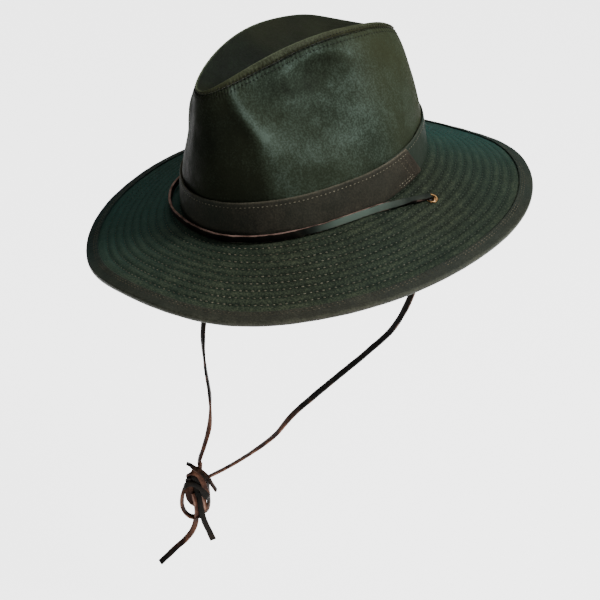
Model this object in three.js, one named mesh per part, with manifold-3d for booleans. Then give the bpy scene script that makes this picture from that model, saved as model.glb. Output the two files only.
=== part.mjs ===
import * as THREE from 'three';
import { mergeVertices } from 'three/addons/utils/BufferGeometryUtils.js';
import Module from 'manifold-3d';

// An outdoor hat of waxed cotton with a pinched, creased crown, a stitched brim and a leather lace.
// Millimetres, +Z up. The wearer faces -Y, so +X is the wearer's left.
// The origin is the middle of the head opening, where the crown's foot meets the brim.
// The hat is worn tipped forward, and its chin lace hangs straight down from it.

const wasm = await Module();
wasm.setup();

const TIP = THREE.MathUtils.degToRad(12.6);
const GAP = 0.3;
const AROUND = 60;

// The crown's foot is an oval for a 58 cm head; its top edge is a pear-shaped crest.
const CROWN = { halfWidth: 85.2, halfLength: 103.2, cloth: 1.6 };
const CREST = {
  front: 82.4, back: 100.6, halfWidth: 39.4, rearFullness: 0.3, roundness: 0.9,
  height: 116, rearFall: 11.7, endFall: 22.8, lean: 4.2,
  shoulder: 1.5, shoulderAngle: 36, shoulderWidth: 15,
};
const LEAN_POWER = { side: 2.2, rearwards: 1.45, curve: 0.6 };
const SEAM_SHARE = 0.955;
const TIP_LIP = [SEAM_SHARE + 0.003, 0.974];
const NEAR_CREST = 0.985;
const WALL_SHARES = [0, 0.12, 0.25, 0.4, 0.52, 0.63, 0.72, 0.8, 0.88, SEAM_SHARE];
const BOWL = { floor: 92, power: 1.9, rows: [0.93, 0.8, 0.64, 0.46, 0.26], foldedCloth: 2 };

// Hollows pressed into each side of the crown by hand, and the raised fold in front of them.
// The angle is seen from above, 0 at the side and -90 at the front; the share is of the wall's height.
const DENTS = [
  { name: 'side hollow', angle: -21, share: 0.66, wide: 25, tall: 0.22, slant: 0, depth: 6.5 },
  { name: 'finger dent', angle: -9, share: 0.81, wide: 13, tall: 0.12, slant: 0, depth: 7 },
  { name: 'front fold', angle: -51, share: 0.72, wide: 6, tall: 0.26, slant: -28, depth: -2.8 },
  { name: 'front hollow', angle: -66, share: 0.62, wide: 11, tall: 0.26, slant: -10, depth: 1.6 },
  { name: 'rear hollow', angle: 34, share: 0.5, wide: 14, tall: 0.25, slant: 0, depth: 1.2 },
];

// The brim is one width all round and falls most at the back; its edge is bound with folded cloth.
const BRIM = { halfWidth: 85.5, halfLength: 103.5, width: 79, thickness: 2.2, belly: 0.1 };
const BRIM_FALL = [
  { angle: -90, fall: 8 },
  { angle: -60, fall: 18 },
  { angle: -30, fall: 22 },
  { angle: 0, fall: 26.5 },
  { angle: 30, fall: 34.5 },
  { angle: 60, fall: 40.5 },
  { angle: 90, fall: 47.5 },
];
const BRIM_ROWS = [0, 0.2, 0.4, 0.6, 0.8, 1];
const BINDING = { width: 9.5, cloth: 1, chamfer: 0.7 };
const NEAR_EDGE = 0.97;

// The band is one strip that laps over its own start at the wearer's left rear.
const BAND = {
  foot: 0.9, height: 28, cloth: 1.4, clearance: 0.5,
  start: 2, lapFrom: 338, lapTo: 358, endTop: 373, endFoot: 383,
};
const BAND_ROWS = [BAND.foot, 10, 19, BAND.height];

const EYELET = {
  angle: 12.9, share: 0.27,
  hole: 3.3, barrel: 4, flange: 4.9, lip: 0.8, round: 0.4, sides: 16,
};
const LACE = { width: 5.5, thickness: 2.2, bevel: 0.5 };

// Routes of the lace: where its middle runs, and which way its flat side's width points.
// The crown lace is given in the hat's own frame, the chin laces in the upright one.
const UP = [0, 0, 1];
const CROWN_LACE = [
  { at: [-101, 9, -2.2], across: UP },
  { at: [-98.2, -1, -0.8], across: UP },
  { at: [-91.5, -21, 1.6], across: UP },
  { at: [-84.5, -48, 2], across: UP },
  { at: [-74.5, -71.5, 2.3], across: UP },
  { at: [-61, -87, 2.5], across: UP },
  { at: [-43, -98.7, 2.8], across: UP },
  { at: [-22, -105.1, 2.9], across: UP },
  { at: [0, -107.6, 2.9], across: UP },
  { at: [22, -105.4, 2.9], across: UP },
  { at: [43, -95.6, 2.9], across: UP },
  { at: [61, -78.9, 2.8], across: UP },
  { at: [74.5, -58.3, 2.6], across: UP },
  { at: [83.2, -38.5, 2.4], across: UP },
  { at: [90.5, -17, 1.5], across: UP },
  { at: [97.2, 1, -0.6], across: UP },
  { at: [100.3, 10.5, -2.2], across: UP },
];
// The way up through an eyelet: how far before its axis, how far above the brim's face.
const EYELET_PASS = [
  { before: 0, above: -6.9 },
  { before: 0, above: -2 },
  { before: 0.6, above: 1.2 },
  { before: 2.6, above: 3 },
  { before: 7, above: 2.9 },
];
const LEFT_LACE = [
  { at: [98.8, 30.4, -19], across: [-0.96, 0.28, 0.04] },
  { at: [97.3, 29, -45], across: [-0.95, 0.31, 0.06] },
  { at: [92.6, 24, -82], across: [-0.9, 0.39, 0.19] },
  { at: [79, 20, -113], across: [-0.74, 0.58, 0.34] },
  { at: [60, 15, -137], across: [-0.62, 0.69, 0.37] },
  { at: [36, 9, -164], across: [-0.58, 0.73, 0.36] },
  { at: [11, 3, -192], across: [-0.57, 0.75, 0.34] },
  { at: [-12, -3, -219], across: [-0.54, 0.81, 0.24] },
  { at: [-29, -8, -244], across: [-0.4, 0.91, 0.13] },
  { at: [-53, -14, -269], across: [-0.33, 0.94, 0.09] },
  { at: [-77, -20, -291], across: [-0.31, 0.95, 0.04] },
  { at: [-98.9, -27.2, -309], across: [-0.32, 0.95, 0.01] },
];
const RIGHT_LACE = [
  { at: [-98.8, 30, -19], across: [0.95, -0.31, 0] },
  { at: [-100.5, 25, -45], across: [0.94, -0.34, -0.01] },
  { at: [-106, 12, -85], across: [0.92, -0.38, 0] },
  { at: [-111, -1, -125], across: [0.93, -0.37, 0.02] },
  { at: [-113.3, -10.5, -155], across: [0.92, -0.39, 0.07] },
  { at: [-113, -14.5, -176], across: [0.86, -0.48, 0.16] },
  { at: [-108, -17, -204], across: [0.73, -0.67, 0.16] },
  { at: [-103, -17, -232], across: [0.72, -0.68, 0.13] },
  { at: [-101, -20, -258], across: [0.74, -0.66, 0.12] },
  { at: [-103, -26, -280], across: [0.71, -0.69, 0.11] },
  { at: [-104.8, -29.4, -291], across: [0.71, -0.7, 0.07] },
  { at: [-105.2, -30, -297], across: [0.74, -0.67, 0.02] },
];
const BLACK_TAIL = [
  { at: [-104.6, -33.9, -325.3], across: [0.7, 0.7, 0] },
  { at: [-104.1, -33.4, -338], across: [0.7, 0.7, 0] },
  { at: [-103.1, -31.7, -350], across: [0.7, 0.7, 0] },
  { at: [-100.4, -27, -362], across: [0.7, 0.7, 0] },
  { at: [-98, -23, -375], across: [0.7, 0.7, 0] },
];
const BROWN_TAIL = [
  { at: [-111, -36.3, -350.2], across: [0.7, 0.7, 0] },
  { at: [-111.4, -37, -361], across: [0.7, 0.7, -0.2] },
  { at: [-115, -41, -373], across: [0.7, 0.7, -0.5] },
  { at: [-120, -46, -382], across: [0.7, 0.7, -0.7] },
  { at: [-126, -52, -392], across: [0.7, 0.7, -0.7] },
  { at: [-133, -59, -402], across: [0.7, 0.7, -0.7] },
];
const LACE_STEPS = 2;

// The knot is a barrel of wraps with a loop of lace at each side below it.
const KNOT = {
  x: -107.2, y: -32.6, top: -297.6, foot: -325,
  radius: 8, neck: 4.8, shoulder: 5.5, sides: 14,
};
const KNOT_LOOPS = [
  { x: -112, y: -36.1, z: -334, halfWidth: 3.8, halfHeight: 13.8, thick: 2.1 },
  { x: -107.7, y: -28.6, z: -331, halfWidth: 3.3, halfHeight: 11, thick: 2.1 },
];
const LOOP_FACING = Math.PI / 4;
const LOOP_BENDS = 12;

const COLOURS = {
  crown: { color: 0x1d2419, roughness: 0.72 },
  tip: { color: 0x1c2618, roughness: 0.75 },
  brim: { color: 0x1f2a1e, roughness: 0.8 },
  binding: { color: 0x39362b, roughness: 0.6 },
  band: { color: 0x2a211a, roughness: 0.78 },
  lace: { color: 0x17120f, roughness: 0.5 },
  rawLace: { color: 0x5c3323, roughness: 0.7 },
  eyelet: { color: 0xb06a3a, roughness: 0.3, metalness: 1 },
};

const radians = THREE.MathUtils.degToRad;
const degrees = THREE.MathUtils.radToDeg;

// A plan angle in degrees, folded so that both sides count from -90 at the front to 90 at the back.
function sideAngle(angle) {
  return degrees(Math.atan2(Math.sin(angle), Math.abs(Math.cos(angle))));
}

// A point of the crest, for a plan angle in radians.
function crestPoint(angle) {
  const across = Math.cos(angle);
  const along = Math.sin(angle);
  const middle = (CREST.back - CREST.front) / 2;
  const reach = (CREST.back + CREST.front) / 2;
  const width = Math.sign(across) * Math.abs(across) ** CREST.roundness;
  const fall = CREST.rearFall * along + CREST.endFall * along ** 2;
  const fromShoulder = (sideAngle(angle) - CREST.shoulderAngle) / CREST.shoulderWidth;
  const shoulder = CREST.shoulder * Math.exp(-(fromShoulder ** 2));
  return new THREE.Vector3(
    CREST.halfWidth * width * (1 + CREST.rearFullness * along),
    middle + reach * along,
    CREST.height - fall + CREST.lean * across + shoulder,
  );
}

// How deep the hollows are at one place of the wall; both sides of the crown are dented alike.
function dentDepth(angle, share) {
  let depth = 0;
  for (const dent of DENTS) {
    const a = (sideAngle(angle) - dent.angle - dent.slant * (share - dent.share)) / dent.wide;
    const s = (share - dent.share) / dent.tall;
    depth += dent.depth * Math.exp(-a * a - s * s);
  }
  const seamHold = Math.min(1, Math.max(0, (0.99 - share) / 0.1));
  return depth * seamHold;
}

// The outside of the crown's wall, from its foot at share 0 to the crest at share 1.
function wallPoint(angle, share) {
  const crest = crestPoint(angle);
  const along = Math.sin(angle);
  const power = LEAN_POWER.side + LEAN_POWER.rearwards * along + LEAN_POWER.curve * along ** 2;
  const drawn = share ** power;
  const foot = new THREE.Vector3(CROWN.halfWidth * Math.cos(angle), CROWN.halfLength * Math.sin(angle), 0);
  const point = foot.clone().lerp(new THREE.Vector3(crest.x, crest.y, 0), drawn);
  const inward = foot.normalize().multiplyScalar(-dentDepth(angle, share));
  return point.add(inward).setZ(crest.z * share);
}

// The top of the tip, sunk between the crests; reach is 0 in the middle and 1 at the crest.
function bowlPoint(angle, reach) {
  const crest = crestPoint(angle);
  const middle = (CREST.back - CREST.front) / 2;
  return new THREE.Vector3(
    crest.x * reach,
    middle + (crest.y - middle) * reach,
    BOWL.floor + (crest.z - BOWL.floor) * reach ** BOWL.power,
  );
}

// The brim's fall at its edge: a smooth curve through the table, alike on both sides.
function brimFall(angle) {
  const last = BRIM_FALL.length - 1;
  const place = ((sideAngle(angle) - BRIM_FALL[0].angle) / 180) * last;
  const row = Math.min(Math.floor(place), last - 1);
  const t = place - row;
  const before = BRIM_FALL[Math.abs(row - 1)].fall;
  const here = BRIM_FALL[row].fall;
  const next = BRIM_FALL[row + 1].fall;
  const after = BRIM_FALL[last - Math.abs(last - row - 2)].fall;
  const slopeHere = (next - before) / 2;
  const slopeNext = (after - here) / 2;
  const rise = 3 * (next - here) - 2 * slopeHere - slopeNext;
  const bend = 2 * (here - next) + slopeHere + slopeNext;
  return here + slopeHere * t + rise * t ** 2 + bend * t ** 3;
}

// The brim's upper face, from the crown at share 0 to the edge at share 1.
function brimPoint(angle, share) {
  const out = BRIM.width * share;
  return new THREE.Vector3(
    (BRIM.halfWidth + out) * Math.cos(angle),
    (BRIM.halfLength + out) * Math.sin(angle),
    -brimFall(angle) * share * (1 + BRIM.belly * (1 - share)),
  );
}

// The outward normal of a surface that is given as a function of angle and share.
function normalAt(surface, angle, share) {
  const small = 0.01;
  const low = Math.max(0, share - small);
  const high = Math.min(1, share + small);
  const around = surface(angle + small, share).sub(surface(angle - small, share));
  const up = surface(angle, high).sub(surface(angle, low));
  return around.cross(up).normalize();
}

function offset(surface, angle, share, distance) {
  return surface(angle, share).addScaledVector(normalAt(surface, angle, share), distance);
}

// Gathers points and faces into one closed body, whose faces are turned outwards.
function bodyOf(points, faces) {
  let volume = 0;
  for (const [a, b, c] of faces) {
    volume += points[a].dot(new THREE.Vector3().crossVectors(points[b], points[c]));
  }
  const index = faces.flatMap(([a, b, c]) => (volume > 0 ? [a, b, c] : [a, c, b]));
  const geometry = new THREE.BufferGeometry().setFromPoints(points);
  geometry.setIndex(index);
  return geometry;
}

// A closed section carried once round the hat.
function ringBody(sectionAt) {
  const points = [];
  const faces = [];
  const size = sectionAt(0).length;
  for (let i = 0; i < AROUND; i += 1) {
    points.push(...sectionAt((2 * Math.PI * i) / AROUND));
    const here = i * size;
    const next = ((i + 1) % AROUND) * size;
    for (let j = 0; j < size; j += 1) {
      const k = (j + 1) % size;
      faces.push([here + j, next + j, next + k], [here + j, next + k, here + k]);
    }
  }
  return bodyOf(points, faces);
}

// A section that begins and ends on the middle line, carried round it like a dome.
function domeBody(sectionAt, firstPole, lastPole) {
  const points = [firstPole, lastPole];
  const faces = [];
  const size = sectionAt(0).length;
  for (let i = 0; i < AROUND; i += 1) {
    points.push(...sectionAt((2 * Math.PI * i) / AROUND));
    const here = 2 + i * size;
    const next = 2 + ((i + 1) % AROUND) * size;
    faces.push([0, next, here], [1, here + size - 1, next + size - 1]);
    for (let j = 0; j + 1 < size; j += 1) {
      faces.push([here + j, next + j, next + j + 1], [here + j, next + j + 1, here + j + 1]);
    }
  }
  return bodyOf(points, faces);
}

// A section carried along an open strip, with both ends closed.
function stripBody(count, sectionAt) {
  const points = [];
  const faces = [];
  const size = sectionAt(0).length;
  const half = size / 2;
  for (let i = 0; i <= count; i += 1) {
    points.push(...sectionAt(i / count));
  }
  for (let i = 0; i < count; i += 1) {
    for (let j = 0; j < size; j += 1) {
      const a = i * size + j;
      const b = i * size + ((j + 1) % size);
      faces.push([a, a + size, b + size], [a, b + size, b]);
    }
  }
  // The section's first half runs up the outside and its second half down the inside.
  for (let j = 0; j + 1 < half; j += 1) {
    const [a, b, c, d] = [j, j + 1, size - 2 - j, size - 1 - j];
    faces.push([a, b, c], [a, c, d]);
    const end = count * size;
    faces.push([end + a, end + c, end + b], [end + a, end + d, end + c]);
  }
  return bodyOf(points, faces);
}

function crownSide() {
  return ringBody((angle) => [
    ...WALL_SHARES.map((share) => wallPoint(angle, share)),
    ...WALL_SHARES.toReversed().map((share) => {
      const point = offset(wallPoint, angle, share, -CROWN.cloth);
      return share === 0 ? point.setZ(0) : point;
    }),
  ]);
}

// The tip begins at its seam below the crest, rolls over the crest and sinks into the crease.
function crownTip() {
  const middle = new THREE.Vector3(0, (CREST.back - CREST.front) / 2, BOWL.floor);
  const section = (angle) => {
    const wallNormal = normalAt(wallPoint, angle, NEAR_CREST);
    const overCrest = wallNormal.sub(normalAt(bowlPoint, angle, NEAR_CREST)).normalize();
    const crest = crestPoint(angle);
    const outside = [
      ...TIP_LIP.map((share) => wallPoint(angle, share)),
      crest,
      ...BOWL.rows.map((reach) => bowlPoint(angle, reach)),
    ];
    const inside = [
      ...TIP_LIP.map((share) => offset(wallPoint, angle, share, -CROWN.cloth)),
      crest.clone().addScaledVector(overCrest, -BOWL.foldedCloth),
      ...BOWL.rows.map((reach) => offset(bowlPoint, angle, reach, CROWN.cloth)),
    ];
    return [...outside.reverse(), ...inside];
  };
  return domeBody(section, middle, middle.clone().setZ(BOWL.floor - CROWN.cloth));
}

function brimBlank() {
  return ringBody((angle) => [
    ...BRIM_ROWS.map((share) => brimPoint(angle, share)),
    ...BRIM_ROWS.toReversed().map((share) => offset(brimPoint, angle, share, BRIM.thickness)),
  ]);
}

// The binding folds round the edge: above it, past it and back below it.
function brimBinding() {
  const inner = 1 - BINDING.width / BRIM.width;
  return ringBody((angle) => {
    const normal = normalAt(brimPoint, angle, 1).negate();
    const edge = brimPoint(angle, 1);
    const out = edge.clone().sub(brimPoint(angle, NEAR_EDGE)).normalize();
    const at = (outward, up) => edge.clone().addScaledVector(out, outward).addScaledVector(normal, up);
    const cloth = GAP + BINDING.cloth;
    const foot = -BRIM.thickness;
    const { chamfer } = BINDING;
    return [
      offset(brimPoint, angle, inner, -cloth),
      at(0, cloth),
      at(cloth - chamfer, cloth - chamfer / 2),
      at(cloth, foot / 2),
      at(cloth - chamfer, foot - cloth + chamfer / 2),
      at(0, foot - cloth),
      offset(brimPoint, angle, inner, BRIM.thickness + cloth),
      offset(brimPoint, angle, inner, BRIM.thickness + GAP),
      at(GAP, foot - GAP),
      at(GAP, GAP),
      offset(brimPoint, angle, inner, -GAP),
    ];
  });
}

// The band follows the crown's wall; its end rides up over its start and is cut on the slant.
function hatBand() {
  const layer = (turn, height, extra) => {
    const rise = (height - BAND.foot) / (BAND.height - BAND.foot);
    const end = BAND.endFoot + (BAND.endTop - BAND.endFoot) * rise;
    const angle = BAND.start + (end - BAND.start) * turn;
    const lap = THREE.MathUtils.smoothstep(angle, BAND.lapFrom, BAND.lapTo) * (BAND.cloth + GAP);
    const share = height / crestPoint(radians(angle)).z;
    return offset(wallPoint, radians(angle), share, BAND.clearance + lap + extra);
  };
  return stripBody(AROUND + 4, (turn) => [
    ...BAND_ROWS.map((height) => layer(turn, height, BAND.cloth)),
    ...BAND_ROWS.toReversed().map((height) => layer(turn, height, 0)),
  ]);
}

// An eyelet's place: its middle on the brim's upper face, with its axis square to the brim.
function eyeletPlace(side) {
  const angle = side > 0 ? radians(EYELET.angle) : Math.PI - radians(EYELET.angle);
  const normal = normalAt(brimPoint, angle, EYELET.share).negate();
  const turn = new THREE.Quaternion().setFromUnitVectors(new THREE.Vector3(0, 0, 1), normal);
  return { position: brimPoint(angle, EYELET.share), turn };
}

function eyeletRing() {
  const { hole, barrel, flange, lip, round } = EYELET;
  const top = GAP;
  const foot = -BRIM.thickness - GAP;
  const profile = [
    [hole, foot - lip], [flange - round, foot - lip], [flange, foot - lip / 2], [flange - round, foot],
    [barrel, foot], [barrel, top], [flange - round, top], [flange, top + lip / 2],
    [flange - round, top + lip], [hole + round, top + lip], [hole, top + lip / 2], [hole, foot - lip],
  ];
  const ring = new THREE.LatheGeometry(profile.map(([r, z]) => new THREE.Vector2(r, z)), EYELET.sides);
  return ring.rotateX(Math.PI / 2);
}

// A lace's middle line, with the direction of its width given at each point of the route.
class LaceRoute extends THREE.CatmullRomCurve3 {
  constructor(route) {
    super(route.map(({ at }) => new THREE.Vector3(...at)), false, 'centripetal');
    this.across = route.map(({ across }) => new THREE.Vector3(...across).normalize());
  }

  // Steps follow the rows of the route, so that a tight bend gets as many as a long run.
  getSpacedPoints(steps) {
    return this.getPoints(steps);
  }

  computeFrenetFrames(steps) {
    const tangents = [];
    const normals = [];
    const binormals = [];
    for (let i = 0; i <= steps; i += 1) {
      const share = (i / steps) * (this.across.length - 1);
      const row = Math.min(Math.floor(share), this.across.length - 2);
      const hint = this.across[row].clone().lerp(this.across[row + 1], share - row);
      const tangent = this.getTangent(i / steps);
      const width = hint.addScaledVector(tangent, -hint.dot(tangent)).normalize();
      tangents.push(tangent);
      normals.push(width);
      binormals.push(tangent.clone().cross(width));
    }
    return { tangents, normals, binormals };
  }
}

// The rows of a route that comes up through an eyelet and turns towards the place it goes on to.
function upThroughEyelet(side, onward) {
  const { position, turn } = eyeletPlace(side);
  const axis = new THREE.Vector3(0, 0, 1).applyQuaternion(turn);
  const away = new THREE.Vector3(...onward).sub(position).projectOnPlane(axis).normalize();
  const across = away.clone().cross(axis).multiplyScalar(side);
  return EYELET_PASS.map(({ before, above }) => ({
    at: position.clone().addScaledVector(away, before).addScaledVector(axis, above).toArray(),
    across: across.toArray(),
  }));
}

// The first rows of a chin lace, which takes over from the crown lace below the eyelet.
function downFromEyelet(side) {
  const onward = side > 0 ? CROWN_LACE.at(-1).at : CROWN_LACE[0].at;
  const [foot, next] = upThroughEyelet(side, onward);
  const upright = ([x, y, z]) => new THREE.Vector3(x, y, z).applyAxisAngle(new THREE.Vector3(1, 0, 0), TIP);
  const start = upright(foot.at);
  const down = start.clone().sub(upright(next.at)).normalize();
  return [GAP, LACE.thickness].map((length) => ({
    at: start.clone().addScaledVector(down, length).toArray(),
    across: upright(foot.across).toArray(),
  }));
}

function laceStrip(route) {
  const path = new LaceRoute(route);
  const [w, t, b] = [LACE.width / 2, LACE.thickness / 2, LACE.bevel];
  const corners = [
    [w - b, t], [b - w, t], [-w, t - b], [-w, b - t], [b - w, -t], [w - b, -t], [w, b - t], [w, t - b],
  ];
  const section = new THREE.Shape(corners.map(([x, y]) => new THREE.Vector2(x, y)));
  const steps = LACE_STEPS * (route.length - 1);
  return new THREE.ExtrudeGeometry(section, { steps, bevelEnabled: false, extrudePath: path });
}

// Cutting and joining of solids.
function solidOf(geometry) {
  const bare = geometry.clone();
  bare.deleteAttribute('normal');
  bare.deleteAttribute('uv');
  const merged = mergeVertices(bare, 1e-4);
  return new wasm.Manifold(new wasm.Mesh({
    numProp: 3,
    vertProperties: new Float32Array(merged.attributes.position.array),
    triVerts: new Uint32Array(merged.index.array),
  }));
}

function geometryOf(solid) {
  const { vertProperties, triVerts } = solid.getMesh();
  const geometry = new THREE.BufferGeometry();
  geometry.setAttribute('position', new THREE.BufferAttribute(new Float32Array(vertProperties), 3));
  geometry.setIndex(new THREE.BufferAttribute(new Uint32Array(triVerts), 1));
  return geometry;
}

function placed(geometry, { position, turn }) {
  return geometry.applyMatrix4(new THREE.Matrix4().compose(position, turn, new THREE.Vector3(1, 1, 1)));
}

function brimWithHoles() {
  let brim = solidOf(brimBlank());
  for (const side of [1, -1]) {
    const radius = EYELET.barrel + GAP;
    const drill = new THREE.CylinderGeometry(radius, radius, 5 * BRIM.thickness, EYELET.sides);
    brim = brim.subtract(solidOf(placed(drill.rotateX(Math.PI / 2), eyeletPlace(side))));
  }
  return geometryOf(brim);
}

function knotBody() {
  const { top, foot, radius, neck, shoulder, sides, x, y } = KNOT;
  const profile = [
    [0, foot], [neck, foot], [radius, foot + shoulder], [radius, top - shoulder], [neck, top], [0, top],
  ];
  const barrel = new THREE.LatheGeometry(profile.map(([r, z]) => new THREE.Vector2(r, z)), sides);
  barrel.rotateX(Math.PI / 2).translate(x, y, 0);
  let knot = solidOf(barrel);
  for (const loop of KNOT_LOOPS) {
    const bends = Array.from({ length: LOOP_BENDS }, (_, i) => {
      const turn = (2 * Math.PI * i) / LOOP_BENDS;
      return new THREE.Vector3(loop.halfWidth * Math.cos(turn), 0, loop.halfHeight * Math.sin(turn));
    });
    const ring = new THREE.TubeGeometry(new THREE.CatmullRomCurve3(bends, true), 20, loop.thick, 6, true);
    ring.rotateZ(LOOP_FACING).translate(loop.x, loop.y, loop.z);
    knot = knot.add(solidOf(ring));
  }
  return geometryOf(knot);
}

function part(name, geometry, finish) {
  const mesh = new THREE.Mesh(geometry, new THREE.MeshStandardMaterial(finish));
  mesh.name = name;
  return mesh;
}

const crownLaceRoute = [
  ...upThroughEyelet(-1, CROWN_LACE[0].at),
  ...CROWN_LACE,
  ...upThroughEyelet(1, CROWN_LACE.at(-1).at).reverse(),
];

const hat = new THREE.Group();
hat.rotation.x = TIP;
hat.add(
  part('crown_side', crownSide(), COLOURS.crown),
  part('crown_tip', crownTip(), COLOURS.tip),
  part('hat_band', hatBand(), COLOURS.band),
  part('brim', brimWithHoles(), COLOURS.brim),
  part('brim_binding', brimBinding(), COLOURS.binding),
  part('crown_lace', laceStrip(crownLaceRoute), COLOURS.lace),
);
for (const [name, side] of [['eyelet_left', 1], ['eyelet_right', -1]]) {
  hat.add(part(name, placed(eyeletRing(), eyeletPlace(side)), COLOURS.eyelet));
}

const outdoorHat = new THREE.Group();
outdoorHat.add(
  hat,
  part('chin_lace_left', laceStrip([...downFromEyelet(1), ...LEFT_LACE]), COLOURS.lace),
  part('chin_lace_right', laceStrip([...downFromEyelet(-1), ...RIGHT_LACE]), COLOURS.lace),
  part('lace_knot', knotBody(), COLOURS.rawLace),
  part('lace_tail_black', laceStrip(BLACK_TAIL), COLOURS.lace),
  part('lace_tail_brown', laceStrip(BROWN_TAIL), COLOURS.rawLace),
);

export default outdoorHat;
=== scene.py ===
# %% [markdown]
# # An outdoor hat of waxed cotton
# The hat has a tall crown with a hollow pinched into each side, a band, and a wide brim that is
# quilted with rings of stitches and bound at its edge. A flat leather lace lies round the crown's
# foot, dives through an eyelet at each side of the brim and hangs down to a knot. The solids of
# the part are loaded first. They fix every size and place, and the script dresses them.

import math

import bpy
import numpy as np
from mathutils import Matrix, Vector, noise


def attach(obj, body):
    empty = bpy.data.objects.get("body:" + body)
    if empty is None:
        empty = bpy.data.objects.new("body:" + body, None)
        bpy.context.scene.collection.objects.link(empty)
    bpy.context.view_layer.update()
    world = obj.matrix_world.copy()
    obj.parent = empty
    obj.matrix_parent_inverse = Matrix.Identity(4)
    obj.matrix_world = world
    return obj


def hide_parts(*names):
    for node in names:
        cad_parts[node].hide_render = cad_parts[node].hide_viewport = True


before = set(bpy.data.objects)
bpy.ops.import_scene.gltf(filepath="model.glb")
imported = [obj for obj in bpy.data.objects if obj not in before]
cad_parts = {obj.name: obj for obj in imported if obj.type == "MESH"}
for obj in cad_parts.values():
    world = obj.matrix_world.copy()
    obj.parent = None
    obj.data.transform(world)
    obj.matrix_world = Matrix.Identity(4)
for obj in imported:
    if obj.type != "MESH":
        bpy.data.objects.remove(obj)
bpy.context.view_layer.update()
print("frame nodes:", ", ".join(sorted(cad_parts)))

# %% [markdown]
# ## Camera
# The camera stands to the wearer's front left and looks a little down. It is made first, because
# the laces hang far below the brim and have to lie inside its view. Its axes are given as the
# columns of a matrix, which is exact, where three angles would be hard to read.

# %% Camera
MM = 0.001
CAMERA_PLACE = Vector((714.3, -696.8, 341.6)) * MM
RIGHT, TOP, BACK = (0.6955, 0.7185, 0.0), (-0.2958, 0.2863, 0.9113), (0.6548, -0.6339, 0.4117)

bpy.ops.object.camera_add()
camera = bpy.context.object
camera.name = "photo_view"
camera.data.lens = 81.28
camera.data.sensor_width = 36
camera.data.clip_start = 0.05
camera.data.clip_end = 50
turn = Matrix((RIGHT, TOP, BACK)).transposed().to_4x4()
camera.matrix_world = Matrix.Translation(CAMERA_PLACE) @ turn
bpy.context.scene.camera = camera
print("camera at", [round(x, 3) for x in camera.location])

# %% [markdown]
# ## Finishes
# All the finishes are made of nodes. Long chains of nodes are hard to read as code, so one small
# class wraps a socket and lets Python's own signs add the Math nodes: `1 - mask * 0.5` reads as
# it would on paper. Colours must not pass a Math node, which would turn them grey, so they are
# mixed with Mix nodes. A Finish holds one material while it is being made.

# %% A socket that can be calculated with, and a material in the making
class Value:
    """A number socket: +, - and * on it add Math nodes."""

    def __init__(self, finish, socket):
        self.finish = finish
        self.socket = socket

    def math(self, operation, *numbers):
        inputs = dict(enumerate(numbers or [self]))
        return self.finish.node("Math", {"operation": operation}, inputs)

    def __add__(self, other):
        return self.math("ADD", self, other)

    def __sub__(self, other):
        return self.math("SUBTRACT", self, other)

    def __rsub__(self, other):
        return self.math("SUBTRACT", other, self)

    def __mul__(self, other):
        return self.math("MULTIPLY", self, other)

    __radd__ = __add__
    __rmul__ = __mul__


class Finish:
    """A material in the making. Values that are the same all over go straight on the shader."""

    def __init__(self, name, same_all_over):
        self.material = bpy.data.materials.new(name)
        self.material.use_nodes = True
        self.tree = self.material.node_tree
        self.shader = self.tree.nodes["Principled BSDF"]
        for key, value in same_all_over.items():
            self.shader.inputs[key].default_value = value

    def node(self, kind, settings=None, inputs=None, output=0):
        """Adds a node, sets it, then fills its sockets with values or links."""
        node = self.tree.nodes.new("ShaderNode" + kind)
        for key, value in (settings or {}).items():
            setattr(node, key, value)
        for key, value in (inputs or {}).items():
            self.fill(node.inputs[key], value)
        return Value(self, node.outputs[output])

    def fill(self, socket, value):
        if isinstance(value, Value):
            self.tree.links.new(value.socket, socket)
        elif isinstance(value, str):
            socket.default_value = colour(value)
        else:
            socket.default_value = value

    def place(self):
        return self.node("TexCoord", output="Object")

    def attribute(self, name):
        return self.node("Attribute", {"attribute_name": name}, output="Fac")

    def noise(self, scale, detail=3, roughness=0.55, place=None, distortion=0):
        inputs = {"Vector": place or self.place(), "Scale": scale, "Detail": detail}
        inputs |= {"Roughness": roughness, "Distortion": distortion}
        return self.node("TexNoise", None, inputs)

    def ramp(self, value, low, high, start=0.0, end=1.0):
        """Spreads the part of a value between low and high over start to end, smoothly."""
        inputs = {"Value": value, "From Min": low, "From Max": high}
        inputs.update({"To Min": start, "To Max": end})
        return self.node("MapRange", {"interpolation_type": "SMOOTHSTEP"}, inputs)

    def mix(self, first, second, factor):
        """Mixes two colours: they go in at a Mix node's sockets 6 and 7 and come out at 2."""
        inputs = {0: factor, 6: first, 7: second}
        return self.node("Mix", {"data_type": "RGBA"}, inputs, output=2)

    def stretched(self, scale):
        """The piece's own place, stretched along its axes."""
        return self.node("Mapping", None, {"Vector": self.place(), "Scale": scale})

    def end(self, base, roughness=None, heights=()):
        """Links the shader; heights is a list of (height value, millimetres)."""
        self.fill(self.shader.inputs["Base Color"], base)
        if roughness is not None:
            self.fill(self.shader.inputs["Roughness"], roughness)
        normal = {}
        for height, distance in heights:
            inputs = {"Height": height, "Distance": distance * MM, "Strength": 1.0, **normal}
            normal = {"Normal": self.node("Bump", None, inputs)}
        for key, value in normal.items():
            self.fill(self.shader.inputs[key], value)
        return self.material


def colour(text):
    """A colour as it is written on a screen, such as '3A3226', made linear for the shader."""
    channels = [int(text[i : i + 2], 16) / 255 for i in (0, 2, 4)]
    linear = [c / 12.92 if c <= 0.04045 else ((c + 0.055) / 1.055) ** 2.4 for c in channels]
    return (*linear, 1)


print("olive is", [round(c, 3) for c in colour("3A4030")])

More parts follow.
